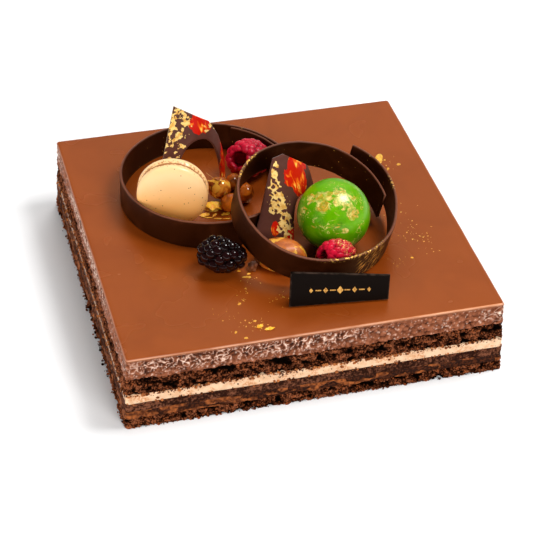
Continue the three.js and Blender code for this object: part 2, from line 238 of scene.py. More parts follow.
def loft(
    loops: Array,
    fields: Mapping[str, Array] | None = None,
    tips: Sequence[float] | None = None,
) -> Shape:
    """Closed mesh through a row of loops, each end closed to a point.

    Args:
        loops: points as rows of equal loops.
        fields: values at the loops' points, in the same rows.
        tips: heights of the end points on the Z axis, or None for the middles of the end loops.
    Returns:
        The mesh.
    """
    rows, count, _ = loops.shape
    ends = loops[[0, -1]].mean(axis=1) if tips is None else [(0, 0, height) for height in tips]
    points = np.concatenate([loops.reshape(-1, 3), np.array(ends)])
    row, spot = np.meshgrid(np.arange(rows - 1), np.arange(count), indexing="ij")
    here = row * count + spot
    beside = row * count + (spot + 1) % count
    quads = np.stack([here, beside, beside + count, here + count], axis=-1).reshape(-1, 4)
    i = np.arange(count)
    j = (i + 1) % count
    last = (rows - 1) * count
    first_fan = np.stack([np.full(count, rows * count), j, i], axis=1)
    last_fan = np.stack([np.full(count, rows * count + 1), last + i, last + j], axis=1)
    held = {}
    for key, values in (fields or {}).items():
        flat = values.reshape(rows * count, *values.shape[2:])
        held[key] = np.concatenate([flat, flat[:1], flat[-1:]])
    return Shape(points, quads, np.concatenate([first_fan, last_fan]), held).outward()


def ring_of(count: int) -> Array:
    """Spots of a unit circle, evenly round it."""
    angle = 2 * np.pi * np.arange(count) / count
    return np.column_stack([np.cos(angle), np.sin(angle)])


def unit(rows: Array) -> Array:
    """Rows scaled to a length of 1."""
    return rows / np.maximum(np.linalg.norm(rows, axis=1, keepdims=True), 1e-9)


def at_height(spots: Array, height: float) -> Array:
    """Spots of a plane as points at one height."""
    return np.column_stack([spots, np.full(len(spots), float(height))])


def round_axis(rows: Array, angle: Array) -> Array:
    """Points from rows of radius and height, each turned round the Z axis by its angle."""
    return np.column_stack([rows[:, 0] * np.cos(angle), rows[:, 0] * np.sin(angle), rows[:, 1]])


def curve_through(stations: Sequence[Sequence[float]], steps: int) -> Array:
    """Smooth line through a few stations.

    Args:
        stations: points that the line passes.
        steps: points between two stations.
    Returns:
        Points along the line.
    """
    held = np.array([stations[0], *stations, stations[-1]], float)
    line = []
    for k in range(1, len(held) - 2):
        before, start, end, after = held[k - 1 : k + 3]
        for t in np.arange(steps) / steps:
            bend = 2 * before - 5 * start + 4 * end - after
            lift = 3 * start - before - 3 * end + after
            line.append(0.5 * (2 * start + (end - before) * t + bend * t**2 + lift * t**3))
    return np.array([*line, held[-1]])


def turned(
    stations: Sequence[Sequence[float]],
    steps: int,
    count: int,
    push: Callable[[Array], Array],
) -> Shape:
    """Mesh of a smooth profile turned round the Z axis.

    Args:
        stations: radius and height along the profile, from tip to tip; the tips lie on the axis.
        steps: points between two stations.
        count: spots round the axis.
        push: how far the skin moves out at given points.
    Returns:
        The mesh.
    """
    profile = curve_through(stations, steps)
    profile[:, 0] = np.maximum(profile[:, 0], 0)
    ring = at_height(ring_of(count), 0)
    rows = profile[1:-1]
    loops = rows[:, None, :1] * ring[None] + np.array([0, 0, 1]) * rows[:, None, 1:]
    out = push(loops.reshape(-1, 3)).reshape(len(rows), count, 1)
    return loft(loops + ring[None] * out, tips=profile[[0, -1], 1])


def ball_mesh(fineness: int) -> tuple[Array, Array]:
    """Unit ball of even triangles.

    Args:
        fineness: how often its triangles are split.
    Returns:
        Directions and triangles.
    """
    made = bmesh.new()
    bmesh.ops.create_icosphere(made, subdivisions=fineness, radius=1)
    points = np.array([v.co for v in made.verts])
    tris = np.array([[v.index for v in f.verts] for f in made.faces])
    made.free()
    return unit(points), tris


NO_QUADS = np.zeros((0, 4), int)


class Signal:
    """Output socket of a node that takes part in Python expressions on values."""

    def __init__(self, graph: "Graph", socket: bpy.types.NodeSocket) -> None:
        """Wraps an output socket of a material's nodes."""
        self.graph = graph
        self.socket = socket

    def __add__(self, other: "Signal | float") -> "Signal":
        """Sum."""
        return self.graph.math("ADD", self, other)

    __radd__ = __add__

    def __mul__(self, other: "Signal | float") -> "Signal":
        """Product."""
        return self.graph.math("MULTIPLY", self, other)

    __rmul__ = __mul__

    def __sub__(self, other: "Signal | float") -> "Signal":
        """Difference."""
        return self.graph.math("SUBTRACT", self, other)

    def __rsub__(self, other: "Signal | float") -> "Signal":
        """Difference from a number."""
        return self.graph.math("SUBTRACT", other, self)

    def __or__(self, other: "Signal") -> "Signal":
        """Larger of two."""
        return self.graph.math("MAXIMUM", self, other)

    def between(self, low: float, high: float) -> "Signal":
        """Smooth step from 0 at low to 1 at high."""
        sockets = {"Value": self, "From Min": low, "From Max": high}
        return self.graph.node("ShaderNodeMapRange", {"interpolation_type": "SMOOTHSTEP"}, sockets)


class Graph:
    """Node tree of one material."""

    def __init__(self, name: str) -> None:
        """Makes an empty material.

        Args:
            name: the material's name.
        """
        self.material = bpy.data.materials.new(name)
        self.material.use_nodes = True
        self.tree = self.material.node_tree
        self.shader = self.tree.nodes["Principled BSDF"]

    @cached_property
    def place(self) -> Signal:
        """The object's own place, from one node."""
        return self.node("ShaderNodeTexCoord", output="Object")

    def node(
        self,
        kind: str,
        settings: Mapping[str, object] | None = None,
        sockets: Mapping[str | int, object] | None = None,
        output: str | int = 0,
    ) -> Signal:
        """Adds any node.

        Args:
            kind: the node's type.
            settings: its own settings, set first; stops are a ramp's places and colours.
            sockets: values or signals of its inputs.
            output: which output is wanted.
        Returns:
            That output.
        """
        made = self.tree.nodes.new(kind)
        for key, value in (settings or {}).items():
            if key == "stops":
                ramp = made.color_ramp.elements
                while len(ramp) < len(value):
                    ramp.new(1.0)
                for element, (place, colour) in zip(ramp, value):
                    element.position = place
                    element.color = colour
            else:
                setattr(made, key, value)
        for key, value in (sockets or {}).items():
            self.feed(made.inputs[key], value)
        return Signal(self, made.outputs[output])

    def feed(self, socket: bpy.types.NodeSocket, value: object) -> None:
        """Links a signal to an input, or sets the input's own value.

        Args:
            socket: the input.
            value: a signal, or a value that the input takes.
        """
        if isinstance(value, Signal):
            self.tree.links.new(value.socket, socket)
        else:
            socket.default_value = value

    def math(self, operation: str, first: Signal | float, second: Signal | float) -> Signal:
        """One Math node on two values."""
        return self.node("ShaderNodeMath", {"operation": operation}, {0: first, 1: second})

    def drawn(self, size: float, at: Signal | None) -> dict[str, object]:
        """Sockets of a pattern of a size in millimetres, at a place in millimetres or the object's own."""
        return {"Vector": at or self.place, "Scale": 1 / size if at else 1 / (size * MM)}

    def noise(self, size: float, detail: float = 2, warp: float = 0, at: Signal | None = None) -> Signal:
        """Noise round 0.5 with lumps of a size, finer octaves on them and a warp."""
        sockets = {**self.drawn(size, at), "Detail": detail, "Distortion": warp}
        return self.node("ShaderNodeTexNoise", None, sockets)

    def cells(self, size: float, at: Signal | None = None) -> Signal:
        """Distance from the middles of cells of a size, in cells."""
        return self.node("ShaderNodeTexVoronoi", None, self.drawn(size, at), "Distance")

    def stretched(self, scale: Spot, turn: float, at: Signal | None = None) -> Signal:
        """Place turned about Z, with what is drawn there stretched along the turned axes."""
        sockets = {"Vector": at or self.place, "Rotation": (0, 0, turn), "Scale": scale}
        return self.node("ShaderNodeMapping", {"vector_type": "TEXTURE"}, sockets)

    def value(self, name: str) -> Signal:
        """Number stored at each point."""
        return self.node("ShaderNodeAttribute", {"attribute_name": name}, output="Fac")

    def spot(self, name: str) -> Signal:
        """Vector stored at each point."""
        return self.node("ShaderNodeAttribute", {"attribute_name": name}, output="Vector")

    def mix(self, share: Signal, first: Signal | Colour, second: Signal | Colour) -> Signal:
        """Colour between two, from the first at 0 to the second at 1."""
        return self.node("ShaderNodeMix", {"data_type": "RGBA"}, {0: share, 6: first, 7: second}, 2)

    def ramp(self, share: Signal, *stops: tuple[float, Colour]) -> Signal:
        """Colour from a row of stops."""
        return self.node("ShaderNodeValToRGB", {"stops": stops}, {"Fac": share})

    def bump(self, height: Signal, depth: float) -> Signal:
        """Normal of a fine relief of a depth in millimetres."""
        return self.node("ShaderNodeBump", None, {"Strength": 1, "Distance": depth * MM, "Height": height})

    def surface(self, sockets: Mapping[str, object]) -> None:
        """Sets or links the shader's own sockets."""
        for key, value in sockets.items():
            self.feed(self.shader.inputs[key], value)


@dataclass(frozen=True)
class Finish:
    """Named surface of a piece."""

    name: str

    def paint(self, graph: Graph) -> None:
        """Lays the nodes."""
        raise NotImplementedError

    def material(self) -> bpy.types.Material:
        """The finish as a material, made once.

        Returns:
            The material.
        """
        known = bpy.data.materials.get(self.name)
        if known:
            return known
        graph = Graph(self.name)
        self.paint(graph)
        return graph.material


@dataclass(frozen=True)
class CrumbFinish(Finish):
    """Open chocolate crumb: black in its pits as painted shade, red-brown where it stands proud, partly a
    painted highlight.
    """

    pit_shade: Colour = tone(8, 3, 1)
    crumb: Colour = tone(50, 21, 9)
    proud: Colour = tone(146, 84, 54)
    ruddy: Colour = tone(156, 80, 40)

    def paint(self, graph: Graph) -> None:
        """Lays the nodes.

        Args:
            graph: the material's nodes.
        """
        height = graph.value("relief") + 1.3 * (graph.noise(0.8, 4) - 0.5) + 0.6 * (graph.noise(6, 2) - 0.5)
        # Painted shade and highlight: the pit colour darkens the deep relief, the proud colour lightens what
        # stands out.
        colour = graph.ramp(height, (0.26, self.pit_shade), (0.54, self.crumb), (0.96, self.proud))
        warmer = graph.noise(1.6, 3).between(0.57, 0.66) * height.between(0.35, 0.6)
        graph.surface({
            "Base Color": graph.mix(warmer * 0.6, colour, self.ruddy),
            "Roughness": 0.8,
            "Specular IOR Level": 0.02,
            "Normal": graph.bump(graph.noise(0.45, 3), 0.25),
        })


@dataclass(frozen=True)
class MousseFinish(Finish):
    """Moist mousse cut with a wet knife: pale squiggles of fat whose glints are painted highlights, small
    pits darkened with painted shade.
    """

    pit_shade: Colour = tone(46, 18, 8)
    body: Colour = tone(114, 61, 37)
    proud: Colour = tone(162, 98, 68)
    # Pale fat colour, also the painted glint on the ridges' crests.
    fat_and_glint: Colour = tone(250, 216, 194)

    def paint(self, graph: Graph) -> None:
        """Lays the nodes.

        Args:
            graph: the material's nodes.
        """
        height = graph.value("relief") + 0.5 * (graph.noise(0.9, 4) - 0.5)
        # Painted shade darkens the pits of the relief; proud lumps turn lighter, partly a painted highlight.
        colour = graph.ramp(height, (0.12, self.pit_shade), (0.42, self.body), (0.95, self.proud))
        # The pale fat on the crests stands in for their glints: a painted highlight over real smeared fat.
        smear_glint = graph.value("mark")
        broken = 0.35 + 0.65 * graph.noise(1.2, 3).between(0.38, 0.6)
        graph.surface({
            "Base Color": graph.mix(smear_glint * broken, colour, self.fat_and_glint),
            "Roughness": 0.6 - 0.3 * smear_glint,
            "Specular IOR Level": 0.1,
            "Coat Weight": 0.9 * smear_glint,
            "Coat Roughness": 0.15,
            "Normal": graph.bump(graph.noise(0.6, 3), 0.12),
        })


@dataclass(frozen=True)
class CreamFinish(Finish):
    """Pale coffee cream with crumbs dragged into it."""

    body: Colour = tone(236, 198, 162)
    deep: Colour = tone(220, 173, 132)
    crumb: Colour = tone(82, 40, 20)
    smudge: Colour = tone(206, 138, 88)

    def paint(self, graph: Graph) -> None:
        """Lays the nodes.

        Args:
            graph: the material's nodes.
        """
        colour = graph.mix(graph.noise(4, 3).between(0.35, 0.75), self.body, self.deep)
        fine = graph.noise(1.1, 3)
        rise = graph.value("rise")
        colour = graph.mix(graph.noise(9, 4).between(0.5, 0.62) * fine.between(0.4, 0.6), colour, self.smudge)
        dragged = (fine + 0.25 * (rise - 0.6) + 0.5 * (graph.noise(12, 2) - 0.5)).between(0.66, 0.72)
        bare = rise.between(0.3, 0.5) * (1 - rise.between(0.55, 0.75)) * fine.between(0.42, 0.52)
        covered = graph.value("smeared") * (1 - bare)
        graph.surface({
            "Base Color": graph.mix(dragged | covered, colour, self.crumb),
            "Roughness": 0.55,
            "Specular IOR Level": 0.25,
            "Normal": graph.bump(fine, 0.2),
        })


@dataclass(frozen=True)
class GanacheFinish(Finish):
    """Dense dark filling, finely grained and matt."""

    body: Colour = tone(44, 22, 14)
    grain: Colour = tone(122, 74, 52)

    def paint(self, graph: Graph) -> None:
        """Lays the nodes.

        Args:
            graph: the material's nodes.
        """
        speck = graph.value("relief") * 0.7 + graph.noise(1.1, 4) * 0.8 - 0.22
        graph.surface({
            "Base Color": graph.mix(speck.between(0.46, 0.84), self.body, self.grain),
            "Roughness": 0.85,
            "Specular IOR Level": 0.03,
            "Normal": graph.bump(graph.noise(0.5, 3), 0.25),
        })


@dataclass(frozen=True)
class PralineFinish(Finish):
    """Crunchy layer: caramel flakes in streaks between dark paste."""

    paste: Colour = tone(40, 20, 13)
    flake: Colour = tone(166, 92, 46)
    toasted: Colour = tone(84, 42, 22)

    def paint(self, graph: Graph) -> None:
        """Lays the nodes.

        Args:
            graph: the material's nodes.
        """
        broken = graph.noise(1.2, 4)
        share = (graph.value("mark") + 0.8 * (broken - 0.5)).between(0.2, 0.75)
        colour = graph.mix(graph.noise(2.4, 3).between(0.35, 0.65), self.flake, self.toasted)
        paste = graph.mix(broken.between(0.4, 0.7), self.paste, self.toasted)
        graph.surface({
            "Base Color": graph.mix(share, paste, colour),
            "Roughness": 0.6 - 0.2 * share,
            "Specular IOR Level": 0.05,
            "Normal": graph.bump(broken, 0.4),
        })


@dataclass(frozen=True)
class GlazeFinish(Finish):
    """Milk chocolate glaze: smooth and mirroring on top, dull where the knife cut its edge, with a painted
    highlight along the rolled lip and painted glints on the cut.
    """

    body: Colour = tone(141, 63, 14)
    deep: Colour = tone(134, 58, 11)
    cut: Colour = tone(124, 68, 42)
    # Painted highlight colour laid along the rolled lip of the edge.
    lip: Colour = tone(252, 196, 164)
    fat_and_glint: Colour = tone(250, 216, 194)

    def paint(self, graph: Graph) -> None:
        """Lays the nodes.

        Args:
            graph: the material's nodes.
        """
        flow = graph.noise(38, 3, 0.8)
        edge = graph.value("edge")
        colour = graph.mix(flow.between(0.35, 0.7), self.body, self.deep)
        colour = graph.mix(edge, colour, self.cut)
        # Painted highlight: pale lip colour in patches where the edge rolls over and catches the light.
        patchy = graph.value("lip") * (0.5 + 0.5 * graph.noise(22, 2).between(0.4, 0.6))
        colour = graph.mix(0.9 * patchy, colour, self.lip)
        graph.surface({
            # Pale fat on the cut edge, its glints painted on.
            "Base Color": graph.mix(0.35 * graph.value("mark"), colour, self.fat_and_glint),
            "Roughness": 0.25 + 0.04 * graph.noise(34, 2) + 0.2 * edge,
            "Specular IOR Level": 1.0,
            "Specular Tint": (1, 0.54, 0.25, 1),
            "Normal": graph.bump(graph.noise(16, 1), 0.04),
        })


@dataclass(frozen=True)
class HoopFinish(Finish):
    """Tempered dark chocolate strip: satin walls, pale cut rim, gold rubbed on in places."""

    wall: Colour = tone(42, 15, 3)
    bloom: Colour = tone(66, 29, 11)
    rim: Colour = tone(122, 72, 52)
    gold: Colour = tone(244, 190, 92)

    def paint(self, graph: Graph) -> None:
        """Lays the nodes.

        Args:
            graph: the material's nodes.
        """
        wall = graph.spot("wall")
        swirl = graph.noise(16, 3, 0.6, at=wall)
        colour = graph.mix(swirl.between(0.45, 0.8), self.wall, self.bloom)
        colour = graph.mix(graph.value("rim") * (0.7 + 0.3 * graph.noise(3, 2)), colour, self.rim)
        strokes = graph.noise(0.9, 3, at=graph.stretched((1, 7, 1), math.radians(-40), wall))
        rubbed = graph.value("stroked") * strokes.between(0.54, 0.62)
        crumbled = graph.value("gilded") * graph.noise(1.2, 3).between(0.53, 0.62)
        dots = 1 - graph.cells(2.4, at=wall).between(0.08, 0.14)
        dusted = graph.value("inside") * dots * graph.noise(11, 1, at=wall).between(0.5, 0.56)
        leaf = rubbed | crumbled | dusted * 0.8
        graph.surface({
            "Base Color": graph.mix(leaf, colour, self.gold),
            "Metallic": 0.6 * leaf,
            "Roughness": 0.34 + 0.1 * swirl,
            "Specular IOR Level": 0.15,
            "Normal": graph.bump(graph.noise(5, 2, at=wall), 0.06),
        })


@dataclass(frozen=True)
class Zone:
    """Patch of a sheet: middle, half width and half height in millimetres."""

    u: float
    v: float
    wide: float
    tall: float
    cover: float = 1.0

    def share(self, graph: Graph, sheet: Signal) -> Signal:
        """Its cover inside the patch, falling to 0 outside it.

        Args:
            graph: the material's nodes.
            sheet: place on the sheet.
        Returns:
            Values from 0 to the patch's cover.
        """
        start = (-self.u / self.wide, -self.v / self.tall, 0)
        sockets = {"Vector": sheet, "Location": start, "Scale": (1 / self.wide, 1 / self.tall, 0)}
        inside = graph.node("ShaderNodeMapping", None, sockets)
        reach = graph.node("ShaderNodeVectorMath", {"operation": "LENGTH"}, {0: inside}, "Value")
        return self.cover - self.cover * reach.between(0.55, 1.15)


class Print(Enum):
    """How the gold lies on a shard."""

    TORN = "torn"
    WEB = "web"


@dataclass(frozen=True)
class ShardFinish(Finish):
    """Mauve-brown chocolate printed with pale gold and red brush marks."""

    kind: Print = Print.TORN
    gilded: tuple[Zone, ...] = ()
    red: tuple[Zone, ...] = ()
    body: Colour = tone(74, 40, 32)
    haze: Colour = tone(98, 58, 48)
    gold: Colour = tone(254, 214, 130)
    old_gold: Colour = tone(226, 168, 78)
    scarlet: Colour = tone(196, 22, 4)
    orange: Colour = tone(244, 116, 24)
    yellow: Colour = tone(252, 196, 84)

    def spread(self, graph: Graph, sheet: Signal, zones: Sequence[Zone]) -> Signal:
        """Largest share of several patches, at places on the sheet."""
        return reduce(or_, [zone.share(graph, sheet) for zone in zones])

    def leaf(self, graph: Graph, sheet: Signal) -> Signal:
        """Share of gold: torn scraps, or a sheet with round holes that frays to a web.

        Args:
            graph: the material's nodes.
            sheet: place on the sheet.
        Returns:
            Values between 0 and 1.
        """
        zone = self.spread(graph, sheet, self.gilded)
        fine = graph.noise(1.3, 3, at=sheet)
        if self.kind is Print.TORN:
            scraps = graph.noise(3.4, 8, 0.4, at=sheet) + 0.25 * (fine - 0.5) + 0.16 * (zone - 0.75)
            return scraps.between(0.525, 0.54) * zone.between(0.06, 0.2)
        sway = graph.node("ShaderNodeTexNoise", None, {"Vector": sheet, "Scale": 0.4, "Detail": 3}, "Color")
        strays = {0: sway, 1: (3.4, 3.4, 0), 2: sheet}
        swayed = graph.node("ShaderNodeVectorMath", {"operation": "MULTIPLY_ADD"}, strays)
        holes = graph.cells(1.7, at=graph.stretched((1, 1.5, 1), 0.4, swayed))
        thin = 0.6 * (zone - 1) + 0.5 * (graph.noise(5, 2, at=sheet) - 0.5)
        return (holes + thin + 0.2 * (fine - 0.5)).between(0.45, 0.51) * zone.between(0.04, 0.2)

    def paint(self, graph: Graph) -> None:
        """Lays the nodes.

        Args:
            graph: the material's nodes.
        """
        sheet = graph.spot("sheet")
        colour = graph.mix(graph.noise(5, 4, at=sheet), self.body, self.haze)
        brush = graph.noise(3.0, 4, 0.8, at=graph.stretched((1, 2.4, 1), 0.5, sheet))
        red = self.spread(graph, sheet, self.red)
        painted = (red + 2.2 * (brush - 0.5)).between(0.48, 0.56) * red.between(0.02, 0.2)
        heat = graph.noise(2.2, 3, 0.6, at=graph.stretched((1, 2.6, 1), 0.3, sheet))
        lacquer = graph.ramp(heat, (0.52, self.scarlet), (0.63, self.orange), (0.74, self.yellow))
        colour = graph.mix(painted, colour, lacquer)
        leaf = self.leaf(graph, sheet)
        gold = graph.mix(graph.noise(2.4, 2, at=sheet).between(0.42, 0.64), self.gold, self.old_gold)
        graph.surface({
            "Base Color": graph.mix(leaf, colour, gold),
            "Metallic": 0.1 * leaf,
            "Roughness": 0.34 + 0.12 * leaf,
            "Specular IOR Level": 0.25,
            "Normal": graph.bump(leaf, 0.08),
        })


@dataclass(frozen=True)
class BiscuitFinish(Finish):
    """Almond biscuit shell: eggshell skin with a few dark specks, browner low down; the pale top and warm
    foot are partly painted light.
    """

    skin: Colour = tone(252, 208, 150)
    warmer: Colour = tone(255, 172, 84)
    crust: Colour = tone(196, 128, 74)
    speck: Colour = tone(120, 70, 38)

    def paint(self, graph: Graph) -> None:
        """Lays the nodes.

        Args:
            graph: the material's nodes.
        """
        # Painted light in part: paler at the top where light falls, warmer low down where the glaze throws
        # orange light up.
        warm = 0.3 * (graph.noise(17, 3) - 0.5) + graph.value("low")
        colour = graph.mix(warm, self.skin, self.warmer)
        frill = graph.value("foot") * graph.noise(1.3, 3).between(0.46, 0.64)
        colour = graph.mix(frill, colour, self.crust)
        dots = 1 - graph.cells(2.6).between(0.08, 0.13)
        specks = dots * graph.noise(5, 1).between(0.36, 0.44)
        graph.surface({
            "Base Color": graph.mix(specks, colour, self.speck),
            "Roughness": 0.27,
            "Specular IOR Level": 0.7,
            "Subsurface Weight": 0.12,
            "Subsurface Scale": SOFT_DEPTH,
            "Normal": graph.bump(graph.noise(0.8, 3), 0.05),
        })


@dataclass(frozen=True)
class FillingFinish(Finish):
    """Soft buttery filling between the biscuit shells."""

    body: Colour = tone(180, 120, 68)
    shade: Colour = tone(170, 112, 62)

    def paint(self, graph: Graph) -> None:
        """Lays the nodes.

        Args:
            graph: the material's nodes.
        """
        graph.surface({
            "Base Color": graph.mix(graph.noise(2, 3), self.body, self.shade),
            "Roughness": 0.55,
            "Normal": graph.bump(graph.noise(1, 3), 0.15),
        })


@dataclass(frozen=True)
class GreenShellFinish(Finish):
    """Pearly green shell with torn gold leaf rubbed over it, painted a deeper green as shade on the side away
    from the light.
    """

    body: Colour = tone(102, 170, 0)
    deep: Colour = tone(46, 104, 0)
    pale: Colour = tone(240, 216, 122)
    gold: Colour = tone(216, 156, 46)
    crack: Colour = tone(60, 84, 2)

    def paint(self, graph: Graph) -> None:
        """Lays the nodes.

        Args:
            graph: the material's nodes.
        """
        cloud = graph.noise(13, 3, 0.5)
        # Painted shade: the deep green gathers on the side turned from the light as well as in the clouds.
        colour = graph.mix(0.5 * cloud.between(0.35, 0.75) + 0.6 * graph.value("low"), self.body, self.deep)
        film = graph.value("leafed")
        torn = graph.noise(3.2, 5, 1.4, at=graph.stretched((MM, 2.6 * MM, MM), 0.9))
        leaf = (0.85 * film + 1.7 * (torn - 0.5)).between(0.5, 0.66)
        tint = graph.mix(graph.noise(3.4, 3, 0.8).between(0.42, 0.6), self.pale, self.gold)
        patchy = leaf * (0.35 + 0.55 * graph.noise(3.0, 4, 1.2).between(0.36, 0.6))
        crinkle = graph.noise(3.2, 2, 1.2)
        lines = crinkle.between(0.465, 0.49) - crinkle.between(0.51, 0.535)
        threads = graph.noise(6, 3, 1.6)
        threads = threads.between(0.478, 0.492) - threads.between(0.508, 0.522)
        strewn = 0.75 * threads * graph.noise(9, 3).between(0.48, 0.6)
        colour = graph.mix(patchy | strewn, colour, tint)
        graph.surface({
            "Base Color": graph.mix(0.4 * lines * film.between(0.15, 0.5), colour, self.crack),
            "Metallic": 0.1 * patchy,
            "Roughness": 0.26 + 0.08 * cloud,
            "Specular IOR Level": 0.4,
            "Specular Tint": (0.8, 1, 0.2, 1),
            "Coat Weight": 0.55 * film,
            "Coat Roughness": 0.28,
            "Coat IOR": 2.0,
            "Normal": graph.bump(lines * film + 0.4 * patchy + 0.3 * cloud, 0.07),
        })


@dataclass(frozen=True)
class BerryFinish(Finish):
    """Skin of a berry's round cells, with painted shade in the creases between them."""

    light: Colour = tone(210, 20, 54)
    deep: Colour = tone(170, 8, 34)
    crease: Colour = tone(76, 2, 10)
    rough: float = 0.34
    gloss: float = 0.4
    juicy: float = 0.15
    gilded: bool = False
    gold: Colour = tone(246, 200, 104)

    def paint(self, graph: Graph) -> None:
        """Lays the nodes.

        Args:
            graph: the material's nodes.
        """
        own = graph.value("cell")
        colour = graph.mix(own * 0.7 + 0.3 * graph.noise(2.4, 2), self.light, self.deep)
        # Painted shade darkens the creases between the cells.
        colour = graph.mix(graph.value("crease"), colour, self.crease)
        sockets = {
            "Roughness": self.rough + 0.5 * graph.value("crease"),
            "Specular IOR Level": self.gloss,
            "Subsurface Weight": self.juicy,
            "Subsurface Radius": (1.0, 0.25, 0.2),
            "Subsurface Scale": SOFT_DEPTH,
            "Normal": graph.bump(graph.noise(0.5, 2), 0.03),
        }
        if self.gilded:
            strand = graph.noise(0.9, 3, 1.5).between(0.55, 0.62) * graph.value("gilded")
            colour = graph.mix(strand, colour, self.gold)
            sockets["Metallic"] = 0.4 * strand
        graph.surface({"Base Color": colour, **sockets})


@dataclass(frozen=True)
class CaramelFinish(Finish):
    """Hard caramel coat, amber where it is thin and brown where it pools."""

    thin: Colour = tone(214, 134, 34)
    pooled: Colour = tone(126, 62, 14)
    rough: float = 0.12
    gold_share: float = 0.0
    gold: Colour = tone(252, 184, 62)

    def paint(self, graph: Graph) -> None:
        """Lays the nodes.

        Args:
            graph: the material's nodes.
        """
        pool = graph.noise(6, 3, 0.6)
        colour = graph.mix(pool.between(0.38, 0.62), self.thin, self.pooled)
        sockets = {
            "Roughness": self.rough,
            "Specular IOR Level": 0.75,
            "Subsurface Weight": 0.1,
            "Subsurface Radius": (1.0, 0.45, 0.1),
            "Subsurface Scale": SOFT_DEPTH,
            "Normal": graph.bump(graph.noise(2.6, 2), 0.3),
        }
        if self.gold_share:
            edge = 0.62 - 0.24 * self.gold_share
            leaf = graph.noise(4.6, 4, 0.7).between(edge, edge + 0.06)
            colour = graph.mix(leaf, colour, self.gold)
            sockets["Metallic"] = 0.15 * leaf
        graph.surface({"Base Color": colour, **sockets})


@dataclass(frozen=True)
class PlaqueFinish(Finish):
    """Near-black chocolate plate, faintly clouded, paler in patches along its edges."""

    body: Colour = tone(11, 6, 4)
    cloud: Colour = tone(19, 11, 7)
    patchy: Colour = tone(58, 44, 36)

    def paint(self, graph: Graph) -> None:
        """Lays the nodes.

        Args:
            graph: the material's nodes.
        """
        cloud = graph.noise(9, 3)
        colour = graph.mix(cloud, self.body, self.cloud)
        colour = graph.mix(graph.value("edge") * graph.noise(3, 2).between(0.3, 0.7), colour, self.patchy)
        graph.surface({
            "Base Color": colour,
            "Roughness": 0.34 + 0.12 * cloud,
            "Specular IOR Level": 0.06,
            "Normal": graph.bump(graph.noise(4, 2), 0.04),
        })


@dataclass(frozen=True)
class GoldFinish(Finish):
    """Crumpled gold leaf."""

    bright: Colour = tone(252, 202, 84)
    shade: Colour = tone(224, 156, 50)
    metal: float = 0.25

    def paint(self, graph: Graph) -> None:
        """Lays the nodes.

        Args:
            graph: the material's nodes.
        """
        graph.surface({
            "Base Color": graph.mix(graph.noise(1.4, 3).between(0.4, 0.65), self.bright, self.shade),
            "Metallic": self.metal,
            "Roughness": 0.34,
            "Normal": graph.bump(graph.noise(0.6, 3), 0.12),
        })


@dataclass(frozen=True)
class FloorFinish(Finish):
    """Plain pale studio floor."""

    body: Colour = (0.93, 0.93, 0.93, 1.0)

    def paint(self, graph: Graph) -> None:
        """Lays the nodes."""
        graph.surface({"Base Color": self.body, "Roughness": 0.9, "Specular IOR Level": 0.1})


def in_scene(name: str, data: bpy.types.ID) -> bpy.types.Object:
    """Object of a mesh, light or camera, linked into the scene.

    Args:
        name: the object's name.
        data: what it shows.
    Returns:
        The object.
    """
    made = bpy.data.objects.new(name, data)
    bpy.context.scene.collection.objects.link(made)
    return made


class Part:
    """One visible piece: subclasses say its name, slot, replaced node, finish and shape."""

    name: str
    slot: str
    node: str | None
    finish: Finish

    def build(self) -> Shape:
        """Shapes the piece."""
        raise NotImplementedError

    def dress(self, mesh: bpy.types.Mesh, fields: Mapping[str, Array]) -> None:
        """Gives a mesh the piece's finish.

        Args:
            mesh: the piece's mesh.
            fields: what the finish reads at each point.
        """
        for key, values in fields.items():
            vector = values.ndim > 1
            layer = mesh.attributes.new(key, "FLOAT_VECTOR" if vector else "FLOAT", "POINT")
            layer.data.foreach_set("vector" if vector else "value", values.astype(np.float32).ravel())
        mesh.materials.append(self.finish.material())

    def make(self) -> None:
        """Lays the piece down in the frame, riding on its body."""
        shape = self.build()
        mesh = bpy.data.meshes.new(self.name)
        mesh.from_pydata((shape.points * MM).tolist(), [], shape.quads.tolist() + shape.tris.tolist())
        mesh.polygons.foreach_set("use_smooth", [shape.smooth] * len(mesh.polygons))
        self.dress(mesh, shape.fields)
        piece = in_scene(self.name, mesh)
        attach(piece, BODY)
        if self.node:
            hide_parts(self.node)
        LOG.info("%s: %d points", self.name, len(mesh.vertices))


class LoosePart(Part):
    """Piece that stands for no solid of its own."""

    node = None


@dataclass(frozen=True)
class SquareRim:
    """Outline of the cake as spots along a square with rounded corners."""

    half: float = SIDE / 2
    corner: float = 1.4
    per_side: int = 500
    per_corner: int = 6

    def spots(self) -> tuple[Array, Array]:
        """Spots round the outline.

        Returns:
            Places, and directions out of the cake.
        """
        places, outs = [], []
        straight = self.half - self.corner
        for k in range(4):
            normal = np.array([math.sin(k * math.pi / 2), -math.cos(k * math.pi / 2)])
            along = np.array([-normal[1], normal[0]])
            for share in np.linspace(-1, 1, self.per_side - self.per_corner):
                places.append(normal * self.half + along * straight * share)
                outs.append(normal)
            for step in range(1, self.per_corner + 1):
                turn = step / (self.per_corner + 1) * math.pi / 2
                out = normal * math.cos(turn) + along * math.sin(turn)
                places.append((normal + along) * straight + out * self.corner)
                outs.append(out)
        return np.array(places), np.array(outs)


RIM = SquareRim()
SEAMS = Grain(5)


@dataclass(frozen=True)
class Seam:
    """Uneven joint between two layers."""

    height: float
    waver: float
    apart: float = 7.0

    def heights(self, places: Array) -> Array:
        """Height of the joint round the cake.

        Args:
            places: spots round the outline.
        Returns:
            Heights in millimetres.
        """
        points = at_height(places, self.height * self.apart)
        drift = 0.6 * SEAMS.smooth(points, 13) + 0.4 * SEAMS.smooth(points, 3.5)
        return self.height + self.waver * (2 * drift - 1)


